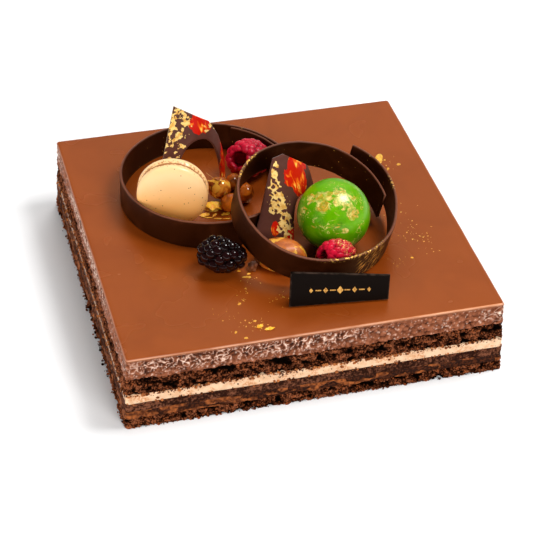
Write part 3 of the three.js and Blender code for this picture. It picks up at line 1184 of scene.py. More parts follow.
@dataclass(frozen=True)
class Smear:
    """Squiggles of fat that a wet knife leaves on the cut sides of mousse and glaze; their glints are painted
    on as pale colour.
    """

    seed: int = 64
    swirl: float = 1.8
    stray: float = 3.0
    width: float = 0.2

    def ripple(self, points: Array) -> Array:
        """Wandering ridges.

        Args:
            points: places on the plain wall.
        Returns:
            Values between -1 and 1.
        """
        grain = Grain(self.seed)
        stray = np.stack([grain.smooth(points + 40 * k, 3.4) for k in (1, 2, 3)], axis=1) - 0.5
        level = grain.smooth(points + self.stray * stray, self.swirl)
        return 1 - 2 * np.minimum(np.abs(level - 0.5) / self.width, 1)

    def wetness(self, points: Array, height: Array) -> Array:
        """Share of the smear, most of it near the layer's top."""
        return ease((Grain(self.seed + 9).smooth(points, (34, 34, 12)) - 0.3) / 0.3) * ease(height / 0.6)

    def fat_and_glint(self, points: Array, height: Array) -> Array:
        """Share of pale fat and its painted glint: crests of the ridges where it is wet, small dots
        elsewhere.

        Args:
            points: places on the plain wall.
            height: share of the layer's height, from 0 to 1.
        Returns:
            Shares between 0 and 1.
        """
        crests = self.wetness(points, height) * ease((self.ripple(points) - 0.35) / 0.45)
        dots, own = Grain(self.seed + 4).lumps(points, 1.1)
        return np.maximum(crests, 0.5 * ease((dots * own - 0.64) / 0.15))


SMEAR = Smear()


class Cut(Enum):
    """How a layer's cut side breaks."""

    CRUMB = "crumb"
    MOUSSE = "mousse"
    CREAM = "cream"
    GRAINED = "grained"
    FLAKED = "flaked"


@dataclass
class CakeLayer(Part):
    """Layer across the whole cake, flat inside, broken along its cut sides."""

    node: str
    slot: str
    cut: Cut
    finish: Finish
    below: Seam
    above: Seam
    rows: int
    crag: float
    seed: int

    @property
    def name(self) -> str:
        """Name of the piece."""
        return f"{self.node}_cut"

    def marks(self, points: Array, height: Array) -> Array:
        """Where the finish shows a second stuff: fat smeared on mousse with its glints painted as pale
        colour, flakes in praline.

        Args:
            points: places on the plain wall.
            height: share of the layer's height, from 0 to 1.
        Returns:
            Shares between 0 and 1.
        """
        match self.cut:
            case Cut.MOUSSE:
                return SMEAR.fat_and_glint(points, height)
            case Cut.FLAKED:
                flakes, own = Grain(self.seed).lumps(points, (6, 6, 2.2))
                return flakes * ease((own - 0.34) / 0.3)
        return np.zeros(len(points))

    def relief(self, points: Array, height: Array) -> Array:
        """How the cut side stands in or out.

        Args:
            points: places on the plain wall.
            height: share of the layer's height, from 0 to 1.
        Returns:
            Relief between about 0, deep, and 1, proud.
        """
        grain = Grain(self.seed)
        match self.cut:
            case Cut.CRUMB:
                big, own = grain.lumps(points, (2.5, 2.5, 1.4))
                small, spare = grain.lumps(points, 0.9)
                holes = np.clip(0.45 - grain.rough(points * (1, 1, 1.7), 4.2), 0, 1) * 4.2
                return 0.28 + 0.42 * big * own + 0.46 * small * spare - holes
            case Cut.MOUSSE:
                wet = SMEAR.wetness(points, height)
                pits, own = grain.lumps(points, 1.5)
                lumps, spare = grain.lumps(points + 30, (2.6, 2.6, 2.0))
                broken = 0.5 * (pits * own - 0.35) + 0.65 * (lumps * (0.7 + 0.3 * spare) - 0.5)
                return 0.5 + 0.3 * SMEAR.ripple(points) * wet + broken * (1.1 - 0.8 * wet)
            case Cut.CREAM:
                return 0.3 + 0.5 * grain.rough(points, 4.5)
            case Cut.GRAINED:
                grains, own = grain.lumps(points, 1.4)
                return 0.2 + 0.4 * grain.smooth(points, 5) + 0.45 * grains * own
            case Cut.FLAKED:
                flakes, own = grain.lumps(points, (6, 6, 2.2))
                crumbs, spare = grain.lumps(points, 1.5)
                return 0.15 + 0.6 * flakes * own + 0.3 * crumbs * spare

    def build(self) -> Shape:
        """Shapes the piece.

        Returns:
            The mesh.
        """
        places, outs = RIM.spots()
        low, high = self.below.heights(places), self.above.heights(places)
        shares = np.linspace(0, 1, self.rows + 1)
        heights = low + (high - low) * shares[:, None]
        spots = np.broadcast_to(places, (len(shares), *places.shape))
        wall = np.concatenate([spots, heights[..., None]], axis=2)
        lifted = np.broadcast_to(shares[:, None], heights.shape)
        relief = self.relief(wall.reshape(-1, 3), lifted.ravel()).reshape(heights.shape)
        marks = self.marks(wall.reshape(-1, 3), lifted.ravel()).reshape(heights.shape)
        smeared = np.broadcast_to(np.maximum(-outs[:, 0], outs[:, 1]) > 0.8, heights.shape).astype(float)
        out = BASE_FLARE * (1 - heights / TOP) + self.crag * (1.45 * relief - 1.05)
        wall[..., :2] += outs * out[..., None]
        flat = [at_height(places * FLAT_SHARE, seam.height) for seam in (self.below, self.above)]
        loops = np.concatenate([flat[:1], wall, flat[1:]])
        values = {"relief": relief, "mark": marks, "rise": lifted, "smeared": smeared}
        fields = {key: np.concatenate([rows[:1], rows, rows[-1:]]) for key, rows in values.items()}
        return loft(loops, fields, (self.below.height, self.above.height))


def cake_layers() -> list[CakeLayer]:
    """Layers from the lowest to the mousse, with the uneven joints they share.

    Returns:
        The layers.
    """
    wavers = {"praline": 0.5, "ganache": 0.35, "cream": 0.35, "upper_sponge": 0.8, "mousse": 0.9}
    order = ["base_sponge", "praline", "ganache", "cream", "upper_sponge", "mousse"]
    seams = [Seam(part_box(node)[0].z / MM, wavers.get(node, 0.0)) for node in order]
    seams.append(Seam(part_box("mousse")[1].z / MM, 0.0))
    crumb = CrumbFinish("dark crumb")
    looks = [
        ("sponge", Cut.CRUMB, crumb, 15, 1.5),
        ("praline", Cut.FLAKED, PralineFinish("praline flakes"), 11, 1.1),
        ("ganache", Cut.GRAINED, GanacheFinish("dense ganache"), 11, 0.8),
        ("cream", Cut.CREAM, CreamFinish("coffee cream"), 12, 0.5),
        ("sponge", Cut.CRUMB, crumb, 21, 1.5),
        ("mousse", Cut.MOUSSE, MousseFinish("wet mousse"), 29, 0.8),
    ]
    return [
        CakeLayer(node, slot, cut, finish, seams[k], seams[k + 1], rows, crag, 20 + k)
        for k, (node, (slot, cut, finish, rows, crag)) in enumerate(zip(order, looks))
    ]


@dataclass
class GlazeSkin(Part):
    """Glaze over the top: a smooth face that rolls over at a thin, slightly uneven edge, with a painted
    highlight laid along its lip.

    Rows of the edge give the place outward, the height and the share of the cut.
    """

    name: str = "glaze_skin"
    slot: str = "glaze"
    node: str = "glaze"
    finish: Finish = GlazeFinish("milk chocolate glaze")
    height: float = 1.75
    uneven: float = 0.28
    lip_rise: float = 1.3
    lip_width: float = 0.18
    seed: int = 71
    edge: tuple[Spot, ...] = (
        (-0.2, 0, 1), (0.02, 0.2, 1), (0.1, 0.5, 1), (0.06, 0.85, 0.6), (-0.12, 1.18, 0.1), (-0.42, 1.46, 0),
        (-0.82, 1.64, 0), (-1.3, 1.72, 0), (-1.9, 1.75, 0),
    )

    def build(self) -> Shape:
        """Shapes the piece.

        Returns:
            The mesh.
        """
        places, outs = RIM.spots()
        low = TOP - self.height
        grain = Grain(self.seed)
        flat = [at_height(places * FLAT_SHARE, height) for height in (low, TOP)]
        # Painted light: the lip highlight and the fat glints are weakened on the left and back faces, which
        # turn from the light.
        light_facing = 1 - 0.65 * ease(np.maximum(-outs[:, 0], outs[:, 1]))
        loops, marks = [], []
        for out, rise, cut in self.edge:
            points = at_height(places, low + rise)
            marks.append(cut * light_facing * SMEAR.fat_and_glint(points, np.ones(len(points))))
            sway = 0.6 * grain.smooth(points * (1, 1, 0), 17) + 0.4 * grain.smooth(points, 2.4)
            points[:, :2] *= 1 + 2 * out / SIDE
            points[:, :2] += outs * self.uneven * (sway - 0.5)[:, None]
            loops.append(points)
        plain = np.zeros(len(places))
        cuts = [1, *(cut for _, _, cut in self.edge), 0]
        # The lip field lays the painted highlight in a band at the lip's height.
        gaps = [(rise - self.lip_rise) / self.lip_width for _, rise, _ in self.edge]
        lips = [0, *(math.exp(-gap**2) for gap in gaps), 0]
        fields = {
            "lip": np.array([light_facing * share for share in lips]),
            "edge": np.array([plain + cut for cut in cuts]),
            "mark": np.array([plain, *marks, plain]),
        }
        return loft(np.array([flat[0], *loops, flat[1]]), fields, (low, TOP))


@dataclass
class Hoop(Part):
    """Chocolate strip bent round once with its ends lapped."""

    name: str
    node: str
    start: float
    end: float
    height: float
    radius: Callable[[Array], Array]
    matrix: Matrix
    gilding: tuple[tuple[float, float], ...] = ()
    strokes: tuple[tuple[float, float], ...] = ()
    slot: str = "tempered_chocolate"
    thickness: float = 1.6
    bevel: float = 0.5
    crown_depth: float = 1.5
    sides_apart: float = 40.0
    steps: int = 340
    seed: int = 83
    finish: Finish = HoopFinish("tempered chocolate")

    def section(self) -> Array:
        """Outline of the strip's section.

        Returns:
            Rows of outward place, height and share of the pale rim.
        """
        wide, tall, soft = -self.thickness, self.height, self.bevel
        rises = np.linspace(0.12, tall - soft - 0.3, 14)
        outer = [(0, rise, 0) for rise in rises]
        inner = [(wide, rise, 0) for rise in rises[::-1]]
        crown = [
            (-0.02, tall - soft, 0.3), (-0.4 * soft, tall - 0.3 * soft, 1), (-soft, tall, 1),
            (wide / 2, tall, 0.8), (wide + soft, tall, 0.5), (wide + 0.4 * soft, tall - 0.3 * soft, 0.2),
            (wide + 0.02, tall - soft, 0),
        ]
        return np.array([(-0.12, 0, 0), *outer, *crown, *inner, (wide + 0.12, 0, 0)])

    @staticmethod
    def gilded(angles: Array, stretches: Sequence[tuple[float, float]]) -> Array:
        """Share of gold round the hoop.

        Args:
            angles: places round the hoop, in degrees.
            stretches: middles and half widths of the gilded stretches.
        Returns:
            Shares between 0 and 1.
        """
        total = np.zeros(len(angles))
        for middle, half in stretches:
            core = half * 0.6
            total = np.maximum(total, 1 - ease((np.abs(angles - middle) - core) / core))
        return total

    def build(self) -> Shape:
        """Shapes the piece.

        Returns:
            The mesh.
        """
        angles = np.linspace(self.start, self.end, self.steps + 1)
        turn = np.radians(angles)
        nudge = np.radians(0.5)
        near = [turn, turn + nudge, turn - nudge]
        spot, ahead, behind = (
            self.radius(np.degrees(t))[:, None] * np.column_stack([np.cos(t), np.sin(t)]) for t in near
        )
        along = unit(ahead - behind)
        outward = np.column_stack([along[:, 1], -along[:, 0]])
        section = self.section()
        arc = np.concatenate([[0], np.cumsum(np.linalg.norm(np.diff(spot, axis=0), axis=1))])
        grain = Grain(self.seed)
        course = np.column_stack([arc, np.zeros((len(arc), 2))])
        dip = 0.3 * (grain.smooth(course, 9) - 0.5) + 0.2 * (grain.smooth(course, 2.2) - 0.5)
        lean = 0.25 * (grain.smooth(course + 50, 26) - 0.5)
        share = section[:, 1] / self.height
        loops = np.zeros((len(angles), len(section), 3))
        flat = section[None, :, 0] + lean[:, None] * share[None] ** 2
        loops[..., :2] = spot[:, None] + outward[:, None] * flat[..., None]
        loops[..., 2] = section[None, :, 1] + dip[:, None] * share[None] ** 4
        inner = np.where(section[:, 0] < -self.thickness / 2, 1.0, 0.0)
        length, rise, rim, inside = np.broadcast_arrays(arc[:, None], *section.T[1:], inner)
        crown = ease((rise - self.height + self.crown_depth) / self.crown_depth)
        fields = {
            "rim": rim,
            "wall": np.stack([length, rise, inside * self.sides_apart], axis=-1),
            "inside": inside,
            "gilded": self.gilded(angles, self.gilding)[:, None] * crown,
            "stroked": self.gilded(angles, self.strokes)[:, None] * (1 - inside),
        }
        return loft(loops, fields).moved(self.matrix)


@dataclass(frozen=True)
class Lap:
    """Radius of a hoop: one end tucked in, the other springing out, a swelling between them."""

    radius: float
    tuck: float
    tuck_from: float
    tuck_over: float
    flare: float = 0.0
    flare_from: float = 0.0
    flare_over: float = 1.0
    swell: float = 0.0
    swell_at: float = 0.0
    swell_over: float = 1.0

    def __call__(self, angle: Array) -> Array:
        """Outer radius of the strip.

        Args:
            angle: places round the hoop, in degrees.
        Returns:
            Radii in millimetres.
        """
        tucked = self.tuck * (1 - ease((angle - self.tuck_from) / self.tuck_over))
        flared = self.flare * ease((angle - self.flare_from) / self.flare_over)
        swollen = self.swell * np.exp(-(((angle - self.swell_at) / self.swell_over) ** 2))
        return self.radius - tucked + flared + swollen


def placed(x: float, y: float, z: float, *turns: tuple[str, float]) -> Matrix:
    """Matrix of a place and turns.

    Args:
        x: place to the right.
        y: place to the back.
        z: height.
        turns: axis and degrees, the last applied first.
    Returns:
        The matrix.
    """
    matrix = Matrix.Translation((x, y, z))
    for axis, degrees in turns:
        matrix = matrix @ Matrix.Rotation(math.radians(degrees), 4, axis)
    return matrix


def on_glaze(at: Sequence[float]) -> Matrix:
    """Matrix of a place whose height is counted from the glaze."""
    return Matrix.Translation((at[0], at[1], at[2] + TOP))


def aimed(way: Sequence[float]) -> Matrix:
    """Turn that brings the Z axis to a direction."""
    return Vector((0, 0, 1)).rotation_difference(Vector(way).normalized()).to_matrix().to_4x4()


def hoops() -> list[Hoop]:
    """The standing left hoop and the tipped right one.

    Returns:
        The hoops.
    """
    left = Hoop(
        "hoop_left_strip", "hoop_left", start=60, end=-346, height=16.75,
        radius=Lap(48.4, tuck=2.4, tuck_from=8, tuck_over=-60),
        matrix=placed(-27.8, 27.8, TOP),
    )
    right = Hoop(
        "hoop_right_strip", "hoop_right", start=0, end=411, height=17,
        radius=Lap(
            43.45, tuck=4.2, tuck_from=0, tuck_over=75, flare=7.4, flare_from=338, flare_over=66,
            swell=3.1, swell_at=237, swell_over=40,
        ),
        matrix=placed(17.2, -21, 54.45, ("X", 11.3), ("Y", 7.9)),
        gilding=((142, 16), (284, 26), (371, 6)),
        strokes=((300, 14),),
    )
    return [left, right]


@dataclass
class Shard(Part):
    """Thin horseshoe of chocolate, flat on its left and bent round to the right, leaning back."""

    name: str
    node: str
    x: float
    y: float
    turn: float
    lean: float
    flat: float
    bend: float
    outline: tuple[tuple[float, float], ...]
    columns: tuple[int, ...]
    bite_u: float
    bite_v: float
    bite_half: float
    bite_rise: float
    bite_power: float
    bite_turns: tuple[float, ...]
    finish: Finish
    slot: str = "lustre_chocolate"
    thickness: float = 1.5
    bevel: float = 0.25
    fineness: int = 5
    across: int = 13

    def bent(self, u: Array, v: Array, depth: Array) -> Array:
        """Spots of the flat sheet, bent round and leant back.

        Args:
            u: place across the sheet.
            v: place up the sheet.
            depth: place in front of the sheet's middle.
        Returns:
            Points in the shard's own frame.
        """
        angle = np.maximum(0, (u - self.flat) / self.bend)
        hub = self.bend + depth
        x = np.minimum(u, self.flat) + hub * np.sin(angle)
        forward = depth - hub * (1 - np.cos(angle))
        tip = math.radians(self.lean)
        y = -forward * math.cos(tip) + v * math.sin(tip)
        z = forward * math.sin(tip) + v * math.cos(tip)
        return np.stack([x, y, z], axis=-1)

    def rails(self) -> tuple[Array, Array]:
        """Matching spots along the outer edge and along the bite.

        Returns:
            Places on the flat sheet, along the edge and along the bite.
        """
        stations = np.column_stack([self.outline, self.bite_turns])
        rows = []
        for start, end, count in zip(stations, stations[1:], self.columns):
            steps = count * self.fineness
            rows.append(start + (end - start) * (np.arange(steps)[:, None] / steps))
        rail = np.concatenate([*rows, stations[-1:]])
        turn = np.radians(rail[:, 2])
        wave = np.column_stack([np.cos(turn), np.sin(turn)])
        squared = np.sign(wave) * np.abs(wave) ** (2 / self.bite_power)
        return rail[:, :2], (self.bite_u, self.bite_v) + squared * (self.bite_half, self.bite_rise)

    def build(self) -> Shape:
        """Shapes the piece.

        Returns:
            The mesh.
        """
        outer, inner = self.rails()
        half = self.thickness / 2
        rim = half - self.bevel
        front = [(share, half) for share in np.linspace(0.02, 0.98, self.across)]
        back = [(share, -half) for share, _ in front[::-1]]
        section = np.array([(0.0, rim), *front, (1.0, rim), (1.0, -rim), *back, (0.0, -rim)])
        share, depth = section[:, 0], np.broadcast_to(section[:, 1], (len(outer), len(section)))
        flat = outer[:, None] + (inner - outer)[:, None] * share[None, :, None]
        u, v = flat[..., 0], flat[..., 1]
        foot = (REST_GAP - self.bent(u, np.zeros_like(v), depth)[..., 2]) / math.cos(math.radians(self.lean))
        v = np.maximum(v, foot)
        sheet = np.stack([u, v, np.where(depth < 0, 70.0, 0.0)], axis=-1)
        shape = loft(self.bent(u, v, depth), {"sheet": sheet})
        return shape.moved(placed(self.x, self.y, TOP, ("Z", self.turn)))


def shards() -> list[Shard]:
    """The two printed shards.

    Returns:
        The shards.
    """
    left_look = ShardFinish(
        "left shard print", Print.TORN,
        gilded=(
            Zone(9, 51, 10, 12), Zone(7, 38, 10, 10, 0.7), Zone(10, 26, 11, 10, 0.4), Zone(30, 45, 5, 4, 0.7),
        ),
        red=(Zone(24.6, 49, 9, 8), Zone(12, 24, 3, 3), Zone(44, 20, 8, 22)),
    )
    right_look = ShardFinish(
        "right shard print", Print.WEB,
        gilded=(Zone(12, 43, 2.8, 6, 0.9), Zone(11.5, 33, 5, 7), Zone(13, 24, 7, 8), Zone(17, 11, 6, 12)),
        red=(Zone(24, 41, 8, 12), Zone(26, 33, 6, 7), Zone(11.3, 11, 2.4, 4.5), Zone(20, 6, 3, 5)),
    )
    left = Shard(
        "shard_left_print", "shard_left", x=-55, y=18, turn=0, lean=15, flat=17.3, bend=22,
        outline=((-6.7, 0), (9.5, 60), (29, 48.4), (36.2, 38.5), (45.8, 19), (50, 0)),
        columns=(7, 5, 3, 4, 3),
        bite_u=22.8, bite_v=9, bite_half=15.5, bite_rise=30.3, bite_power=2,
        bite_turns=(205, 128, 74, 48, 20, -12), finish=left_look,
    )
    right = Shard(
        "shard_right_print", "shard_right", x=-15, y=-25.4, turn=-8, lean=20, flat=11, bend=25,
        outline=((-1.2, 0), (10.7, 49.5), (16.5, 51.6), (32.4, 42.8), (57, 0)), columns=(7, 3, 5, 7),
        bite_u=33.1, bite_v=0, bite_half=11.2, bite_rise=28, bite_power=4,
        bite_turns=(180, 122, 104, 62, 0), finish=right_look,
    )
    return [left, right]


@dataclass(frozen=True)
class BiscuitStand:
    """Where the filled biscuit stands on edge, and its main sizes."""

    x: float = -51.8
    y: float = 8.95
    rise: float = 19.6
    turn: float = -16.5
    radius: float = 19.15
    foot: float = 2.2
    dome: float = 3.5
    filling: float = 2.2

    def matrix(self) -> Matrix:
        """Place of the biscuit's middle, its face turned to the front."""
        return placed(self.x, self.y, TOP + self.rise, ("Z", self.turn), ("X", 90))


STAND = BiscuitStand()


@dataclass
class BiscuitShell(Part):
    """Half of the filled biscuit: ragged foot, smooth dome."""

    name: str
    node: str
    flipped: bool
    seed: int
    slot: str = "biscuit"
    finish: Finish = BiscuitFinish("almond biscuit")

    def build(self) -> Shape:
        """Shapes the piece.

        Returns:
            The mesh.
        """
        wide, foot, dome = STAND.radius, STAND.foot, STAND.dome
        stations = [
            (0, 0), (wide - 3.2, 0), (wide - 1.6, -0.6), (wide - 0.6, -0.6), (wide - 0.15, foot * 0.1),
            (wide, foot * 0.8), (wide - 0.2, foot + dome * 0.18), (wide - 1.1, foot + dome * 0.44),
            (wide - 3.4, foot + dome * 0.7), (wide - 7.5, foot + dome * 0.9),
            (wide - 12.5, foot + dome * 0.98), (0, foot + dome),
        ]
        grain = Grain(self.seed)

        def ragged(points: Array) -> Array:
            """Frilled foot under a nearly smooth dome.

            Args:
                points: places on the smooth shell.
            Returns:
                How far the skin stands out, in millimetres.
            """
            frill, own = grain.lumps(points, (1.5, 1.5, 0.9))
            low = ease((foot * 0.4 - points[:, 2]) / 0.5)
            wave = 0.5 * (grain.smooth(points, 7) - 0.5)
            return low * (0.6 * frill * own - 0.3) + 0.5 * wave

        shape = turned(stations, 7, 200, ragged)
        shape.fields["foot"] = ease((foot * 0.5 - shape.points[:, 2]) / 0.7)
        rise = STAND.filling / 2 + REST_GAP
        flip = [("X", 180)] if self.flipped else []
        shape.moved(STAND.matrix() @ placed(0, 0, -rise if self.flipped else rise, *flip))
        # The low field grades the shell from its pale top to its warm foot, partly painted light.
        shape.fields["low"] = ease((TOP + 1.9 * wide - shape.points[:, 2]) / (1.6 * wide))
        return shape


@dataclass
class BiscuitFilling(Part):
    """Filling that shows between the two shells."""

    name: str = "macaron_filling_cream"
    node: str = "macaron_filling"
    slot: str = "biscuit_cream"
    seed: int = 41
    finish: Finish = FillingFinish("butter filling")

    def build(self) -> Shape:
        """Shapes the piece.

        Returns:
            The mesh.
        """
        wide, thick = STAND.radius, STAND.filling
        stations = [(0, 0), (wide - 2.2, 0), (wide - 1.2, thick / 2), (wide - 2.2, thick), (0, thick)]
        grain = Grain(self.seed)
        shape = turned(stations, 6, 160, lambda points: 0.9 * (grain.rough(points, 4) - 0.5))
        return shape.moved(STAND.matrix() @ placed(0, 0, -thick / 2))


@dataclass
class GreenBall(Part):
    """Green ball, faintly dented, with torn leaf in patches given by direction, reach and share."""

    name: str = "green_ball_shell"
    node: str = "green_ball"
    slot: str = "green_shell"
    finish: Finish = GreenShellFinish("pearly green shell")
    x: float = 26.8
    y: float = -30.8
    radius: float = 19.5
    dent: float = 0.3
    seed: int = 29
    light_way: Spot = (0.45, -0.1, 0.9)
    # The fifth patch lies where the soft box's highlight falls, so its pale leaf is partly a painted
    # highlight.
    patches: tuple[tuple[float, ...], ...] = (
        (-0.69, -0.05, 0.72, 0.2, 0.9), (-0.5, -0.2, 0.84, 0.2, 1), (-0.3, -0.32, 0.9, 0.2, 0.9),
        (-0.49, -0.49, 0.73, 0.26, 1), (0.12, -0.47, 0.87, 0.42, 0.85), (0.28, -0.78, 0.55, 0.26, 0.9),
        (-0.67, -0.68, 0.31, 0.26, 0.6), (-0.11, -0.96, 0.25, 0.36, 0.42), (-0.94, -0.01, 0.34, 0.4, 0.6),
        (0.7, 0.5, 0.5, 0.5, 0.8), (-0.4, 0.85, 0.3, 0.45, 0.9), (0.9, -0.3, 0.1, 0.35, 0.6),
    )

    def build(self) -> Shape:
        """Shapes the piece.

        Returns:
            The mesh.
        """
        ways, tris = ball_mesh(6)
        out = self.radius + self.dent * (Grain(self.seed).rough(ways * self.radius, 12) - 0.62)
        centre = np.array([self.x, self.y, TOP + self.radius + REST_GAP])
        leafed = np.zeros(len(ways))
        for *way, reach, share in self.patches:
            turn = np.arccos(np.clip(ways @ (np.array(way) / np.linalg.norm(way)), -1, 1))
            leafed = np.maximum(leafed, share * (1 - ease(turn / reach - 0.4)))
        # Painted shade: the low field rises on the side of the ball turned away from the soft box.
        low = ease(0.55 - 0.75 * ways @ np.array(self.light_way))
        return Shape(ways * out[:, None] + centre, NO_QUADS, tris, {"leafed": leafed, "low": low}).outward()


class BerryKind(Enum):
    """Kinds of berry on the cake."""

    RASPBERRY = "raspberry"
    DARK = "dark"


@dataclass
class Berry(Part):
    """Berry of round cells over a smooth body, lying with its mouth to one side."""

    name: str
    node: str
    kind: BerryKind
    at: Spot
    mouth_to: Spot
    squeeze: Spot
    seed: int
    finish: Finish
    slot: str
    gold_way: Spot = (0, 0, 1)
    gold_from: float = 0.35
    radius: float = 9.6
    length: float = 20.0
    mouth: float = 4.4
    hollow: float = 9.5
    rim: float = 0.62
    cells: int = 96
    bump: float = 1.15
    uneven: float = 0.3
    tall_cells: float = 1.25

    def body(self, angle: Array) -> Array:
        """Smooth body under the cells.

        Args:
            angle: turn from the mouth's middle, in radians.
        Returns:
            Rows of radius and height.
        """
        if self.kind is BerryKind.DARK:
            taper = 1 + 0.1 * np.cos(angle)
            return np.stack([self.radius * np.sin(angle) * taper, self.length / 2 * np.cos(angle)], axis=-1)
        top = self.length / 2 - 1.6
        rise = math.cos(self.rim)
        dip = np.minimum(angle / self.rim, 1) * np.pi / 2
        cup = np.stack([self.mouth * np.sin(dip), top - self.hollow * np.cos(dip)], axis=-1)
        height = top - (rise - np.cos(angle)) / (rise + 1) * (self.length - 1.6)
        skin = np.stack([self.radius * np.abs(np.sin(angle)) ** 0.9, height], axis=-1)
        lip = ease((angle - self.rim) / 0.16)[..., None]
        return np.where(angle[..., None] < self.rim, cup, cup * (1 - lip) + skin * lip)

    def centres(self) -> tuple[Array, float]:
        """Middles of the cells, spread evenly over the body in a spiral.

        Returns:
            Points on the body, and the radius of a cell.
        """
        draw = Draws(self.seed)
        turns = np.linspace(0 if self.kind is BerryKind.DARK else self.rim * 0.8, np.pi, 400)
        line = self.body(turns)
        strips = np.linalg.norm(np.diff(line, axis=0), axis=1) * np.pi * (line[1:, 0] + line[:-1, 0])
        area = np.concatenate([[0], np.cumsum(strips)])
        shares = (np.arange(self.cells) + 0.5) / self.cells * area[-1]
        spots = self.body(np.interp(shares, area, turns))
        angle = np.array([k * math.pi * (3 - math.sqrt(5)) + 0.3 * draw() for k in range(self.cells)])
        return round_axis(spots, angle), math.sqrt(area[-1] / self.cells / math.pi) * 1.12

    def build(self) -> Shape:
        """Shapes the piece.

        Returns:
            The mesh.
        """
        ways, tris = ball_mesh(6)
        angle = np.arccos(np.clip(ways[:, 2], -1, 1))
        turn = np.arctan2(ways[:, 1], ways[:, 0])
        spot = self.body(angle)
        skin = round_axis(spot, turn)
        centres, reach = self.centres()
        metric = np.array([1, 1, 1 / self.tall_cells]) * self.tall_cells ** (1 / 3)
        gaps = np.linalg.norm((skin[:, None] - centres[None]) * metric, axis=2)
        order = np.sort(gaps, axis=1)[:, :2]
        own = np.argmin(gaps, axis=1)
        dome = np.sqrt(np.clip(1 - (order[:, 0] / reach) ** 2, 0.0, 1))
        groove = 1 - ease((order[:, 1] - order[:, 0]) / (0.34 * reach))
        draw = Draws(self.seed + 100)
        proud = np.array([1 - self.uneven * (draw() - 0.5) for _ in range(self.cells)])
        tint = np.array([draw() for _ in range(self.cells)])
        lift = self.bump * (dome * proud[own] - 0.5 - 0.2 * groove**2)
        slope = self.body(np.maximum(angle - 0.02, 0)) - self.body(np.minimum(angle + 0.02, np.pi))
        normal = unit(np.stack([slope[:, 1], -slope[:, 0]], axis=1))
        points = round_axis(spot + normal * lift[:, None], turn)
        squeeze = Matrix.Diagonal((*self.squeeze, 1))
        # The crease field marks where painted shade falls between the cells.
        shape = Shape(points, NO_QUADS, tris, {"cell": tint[own], "crease": 0.75 * groove * (1 - dome)})
        shape.moved(on_glaze(self.at) @ squeeze @ aimed(self.mouth_to))
        facing = (shape.points - shape.points.mean(axis=0)) / self.radius
        shape.fields["gilded"] = ease((facing @ np.array(self.gold_way) - self.gold_from) / 0.4)
        return shape.outward()


def berries() -> list[Berry]:
    """Two hollow raspberries and a dark berry.

    Returns:
        The berries.
    """
    crimson = BerryFinish("raspberry skin")
    touched = BerryFinish("gilded raspberry skin", gilded=True)
    black = BerryFinish(
        "dark berry skin", light=tone(9, 3, 3), deep=tone(30, 5, 6), crease=tone(2, 1, 1),
        rough=0.07, gloss=0.45, juicy=0.0, gilded=True,
    )
    return [
        Berry(
            "raspberry_left_cells", "raspberry_left", BerryKind.RASPBERRY, at=(-1, 42.8, 11.2),
            mouth_to=(-0.66, -0.6, 0.45), squeeze=(1.24, 1.1, 1.08), seed=61,
            finish=crimson, slot="red_fruit",
        ),
        Berry(
            "raspberry_right_cells", "raspberry_right", BerryKind.RASPBERRY, at=(20.8, -56.7, 12),
            mouth_to=(-0.9, -0.3, 0.3), squeeze=(1.06, 0.73, 1.05), seed=62,
            finish=touched, slot="red_fruit", gold_way=(0.8, 0.1, 0.6),
        ),
        Berry(
            "dark_berry_cells", "dark_berry", BerryKind.DARK, at=(-36, -39.4, 10.4),
            mouth_to=(-0.9, 0.42, 0.05), squeeze=(1, 1, 1), seed=63,
            finish=black, slot="dark_fruit", gold_way=(0.2, 0.5, 0.75), gold_from=0.95,
            radius=8.6, length=25.0, cells=54, bump=2.5, tall_cells=1.0, uneven=0.5,
        ),
    ]


@dataclass
class Nut(Part):
    """Hazelnut in a caramel coat that ends in a drawn point."""

    node: str
    finish: Finish
    seed: int
    at: Spot
    aim: Spot
    radius: float
    tall: float
    tail: float
    slot: str = "caramel_nut"
    long_tail: float = 4.0

    @property
    def name(self) -> str:
        """Name of the piece."""
        return f"{self.node}_coat"

    def build(self) -> Shape:
        """Shapes the piece.

        Returns:
            The mesh.
        """
        shares = (-0.97, -0.86, -0.5, 0, 0.45, 0.78, 0.95)
        stations = [(0, -self.tall), *((self.radius * math.sqrt(1 - f * f), self.tall * f) for f in shares)]
        if self.tail > self.long_tail:
            stations += [(0.75, self.tall * 1.16), (0.4, self.tall * 1.4)]
        stations.append((0, self.tall + self.tail))
        grain = Grain(self.seed)

        def lumpy(points: Array) -> Array:
            """Uneven coat that thins out towards the tip."""
            return 0.5 * (grain.rough(points, 5) - 0.5) * ease((self.tall - points[:, 2]) / 2)

        return turned(stations, 6, 72, lumpy).moved(on_glaze(self.at) @ aimed(self.aim))


def nuts() -> list[Nut]:
    """The four coated hazelnuts.

    Returns:
        The nuts.
    """
    amber = CaramelFinish("amber caramel", thin=tone(232, 142, 44), pooled=tone(146, 62, 8), gold_share=0.55)
    brown = CaramelFinish("brown caramel", thin=tone(168, 88, 26), pooled=tone(84, 36, 8))
    orange = CaramelFinish("orange caramel", thin=tone(206, 104, 20), pooled=tone(112, 42, 4))
    return [
        Nut(
            "hazelnut_front", amber, seed=81, at=(-22.6, 22.2, 8.6), aim=(-0.78, 0.1, 0.62),
            radius=6.3, tall=6.3, tail=6.5,
        ),
        Nut(
            "hazelnut_back", brown, seed=82, at=(-12.4, 30.6, 5.3), aim=(0.4, -0.3, 0.85),
            radius=4.6, tall=4.9, tail=1.2,
        ),
        Nut(
            "hazelnut_low", orange, seed=83, at=(-19.3, 11.9, 5.3), aim=(0.85, 0.25, 0.35),
            radius=4.9, tall=5.4, tail=1.4,
        ),
        Nut(
            "hazelnut_right", orange, seed=84, at=(-9, 17.2, 6.1), aim=(0.1, 0.2, 0.97),
            radius=4.7, tall=5.6, tail=1.2,
        ),
    ]


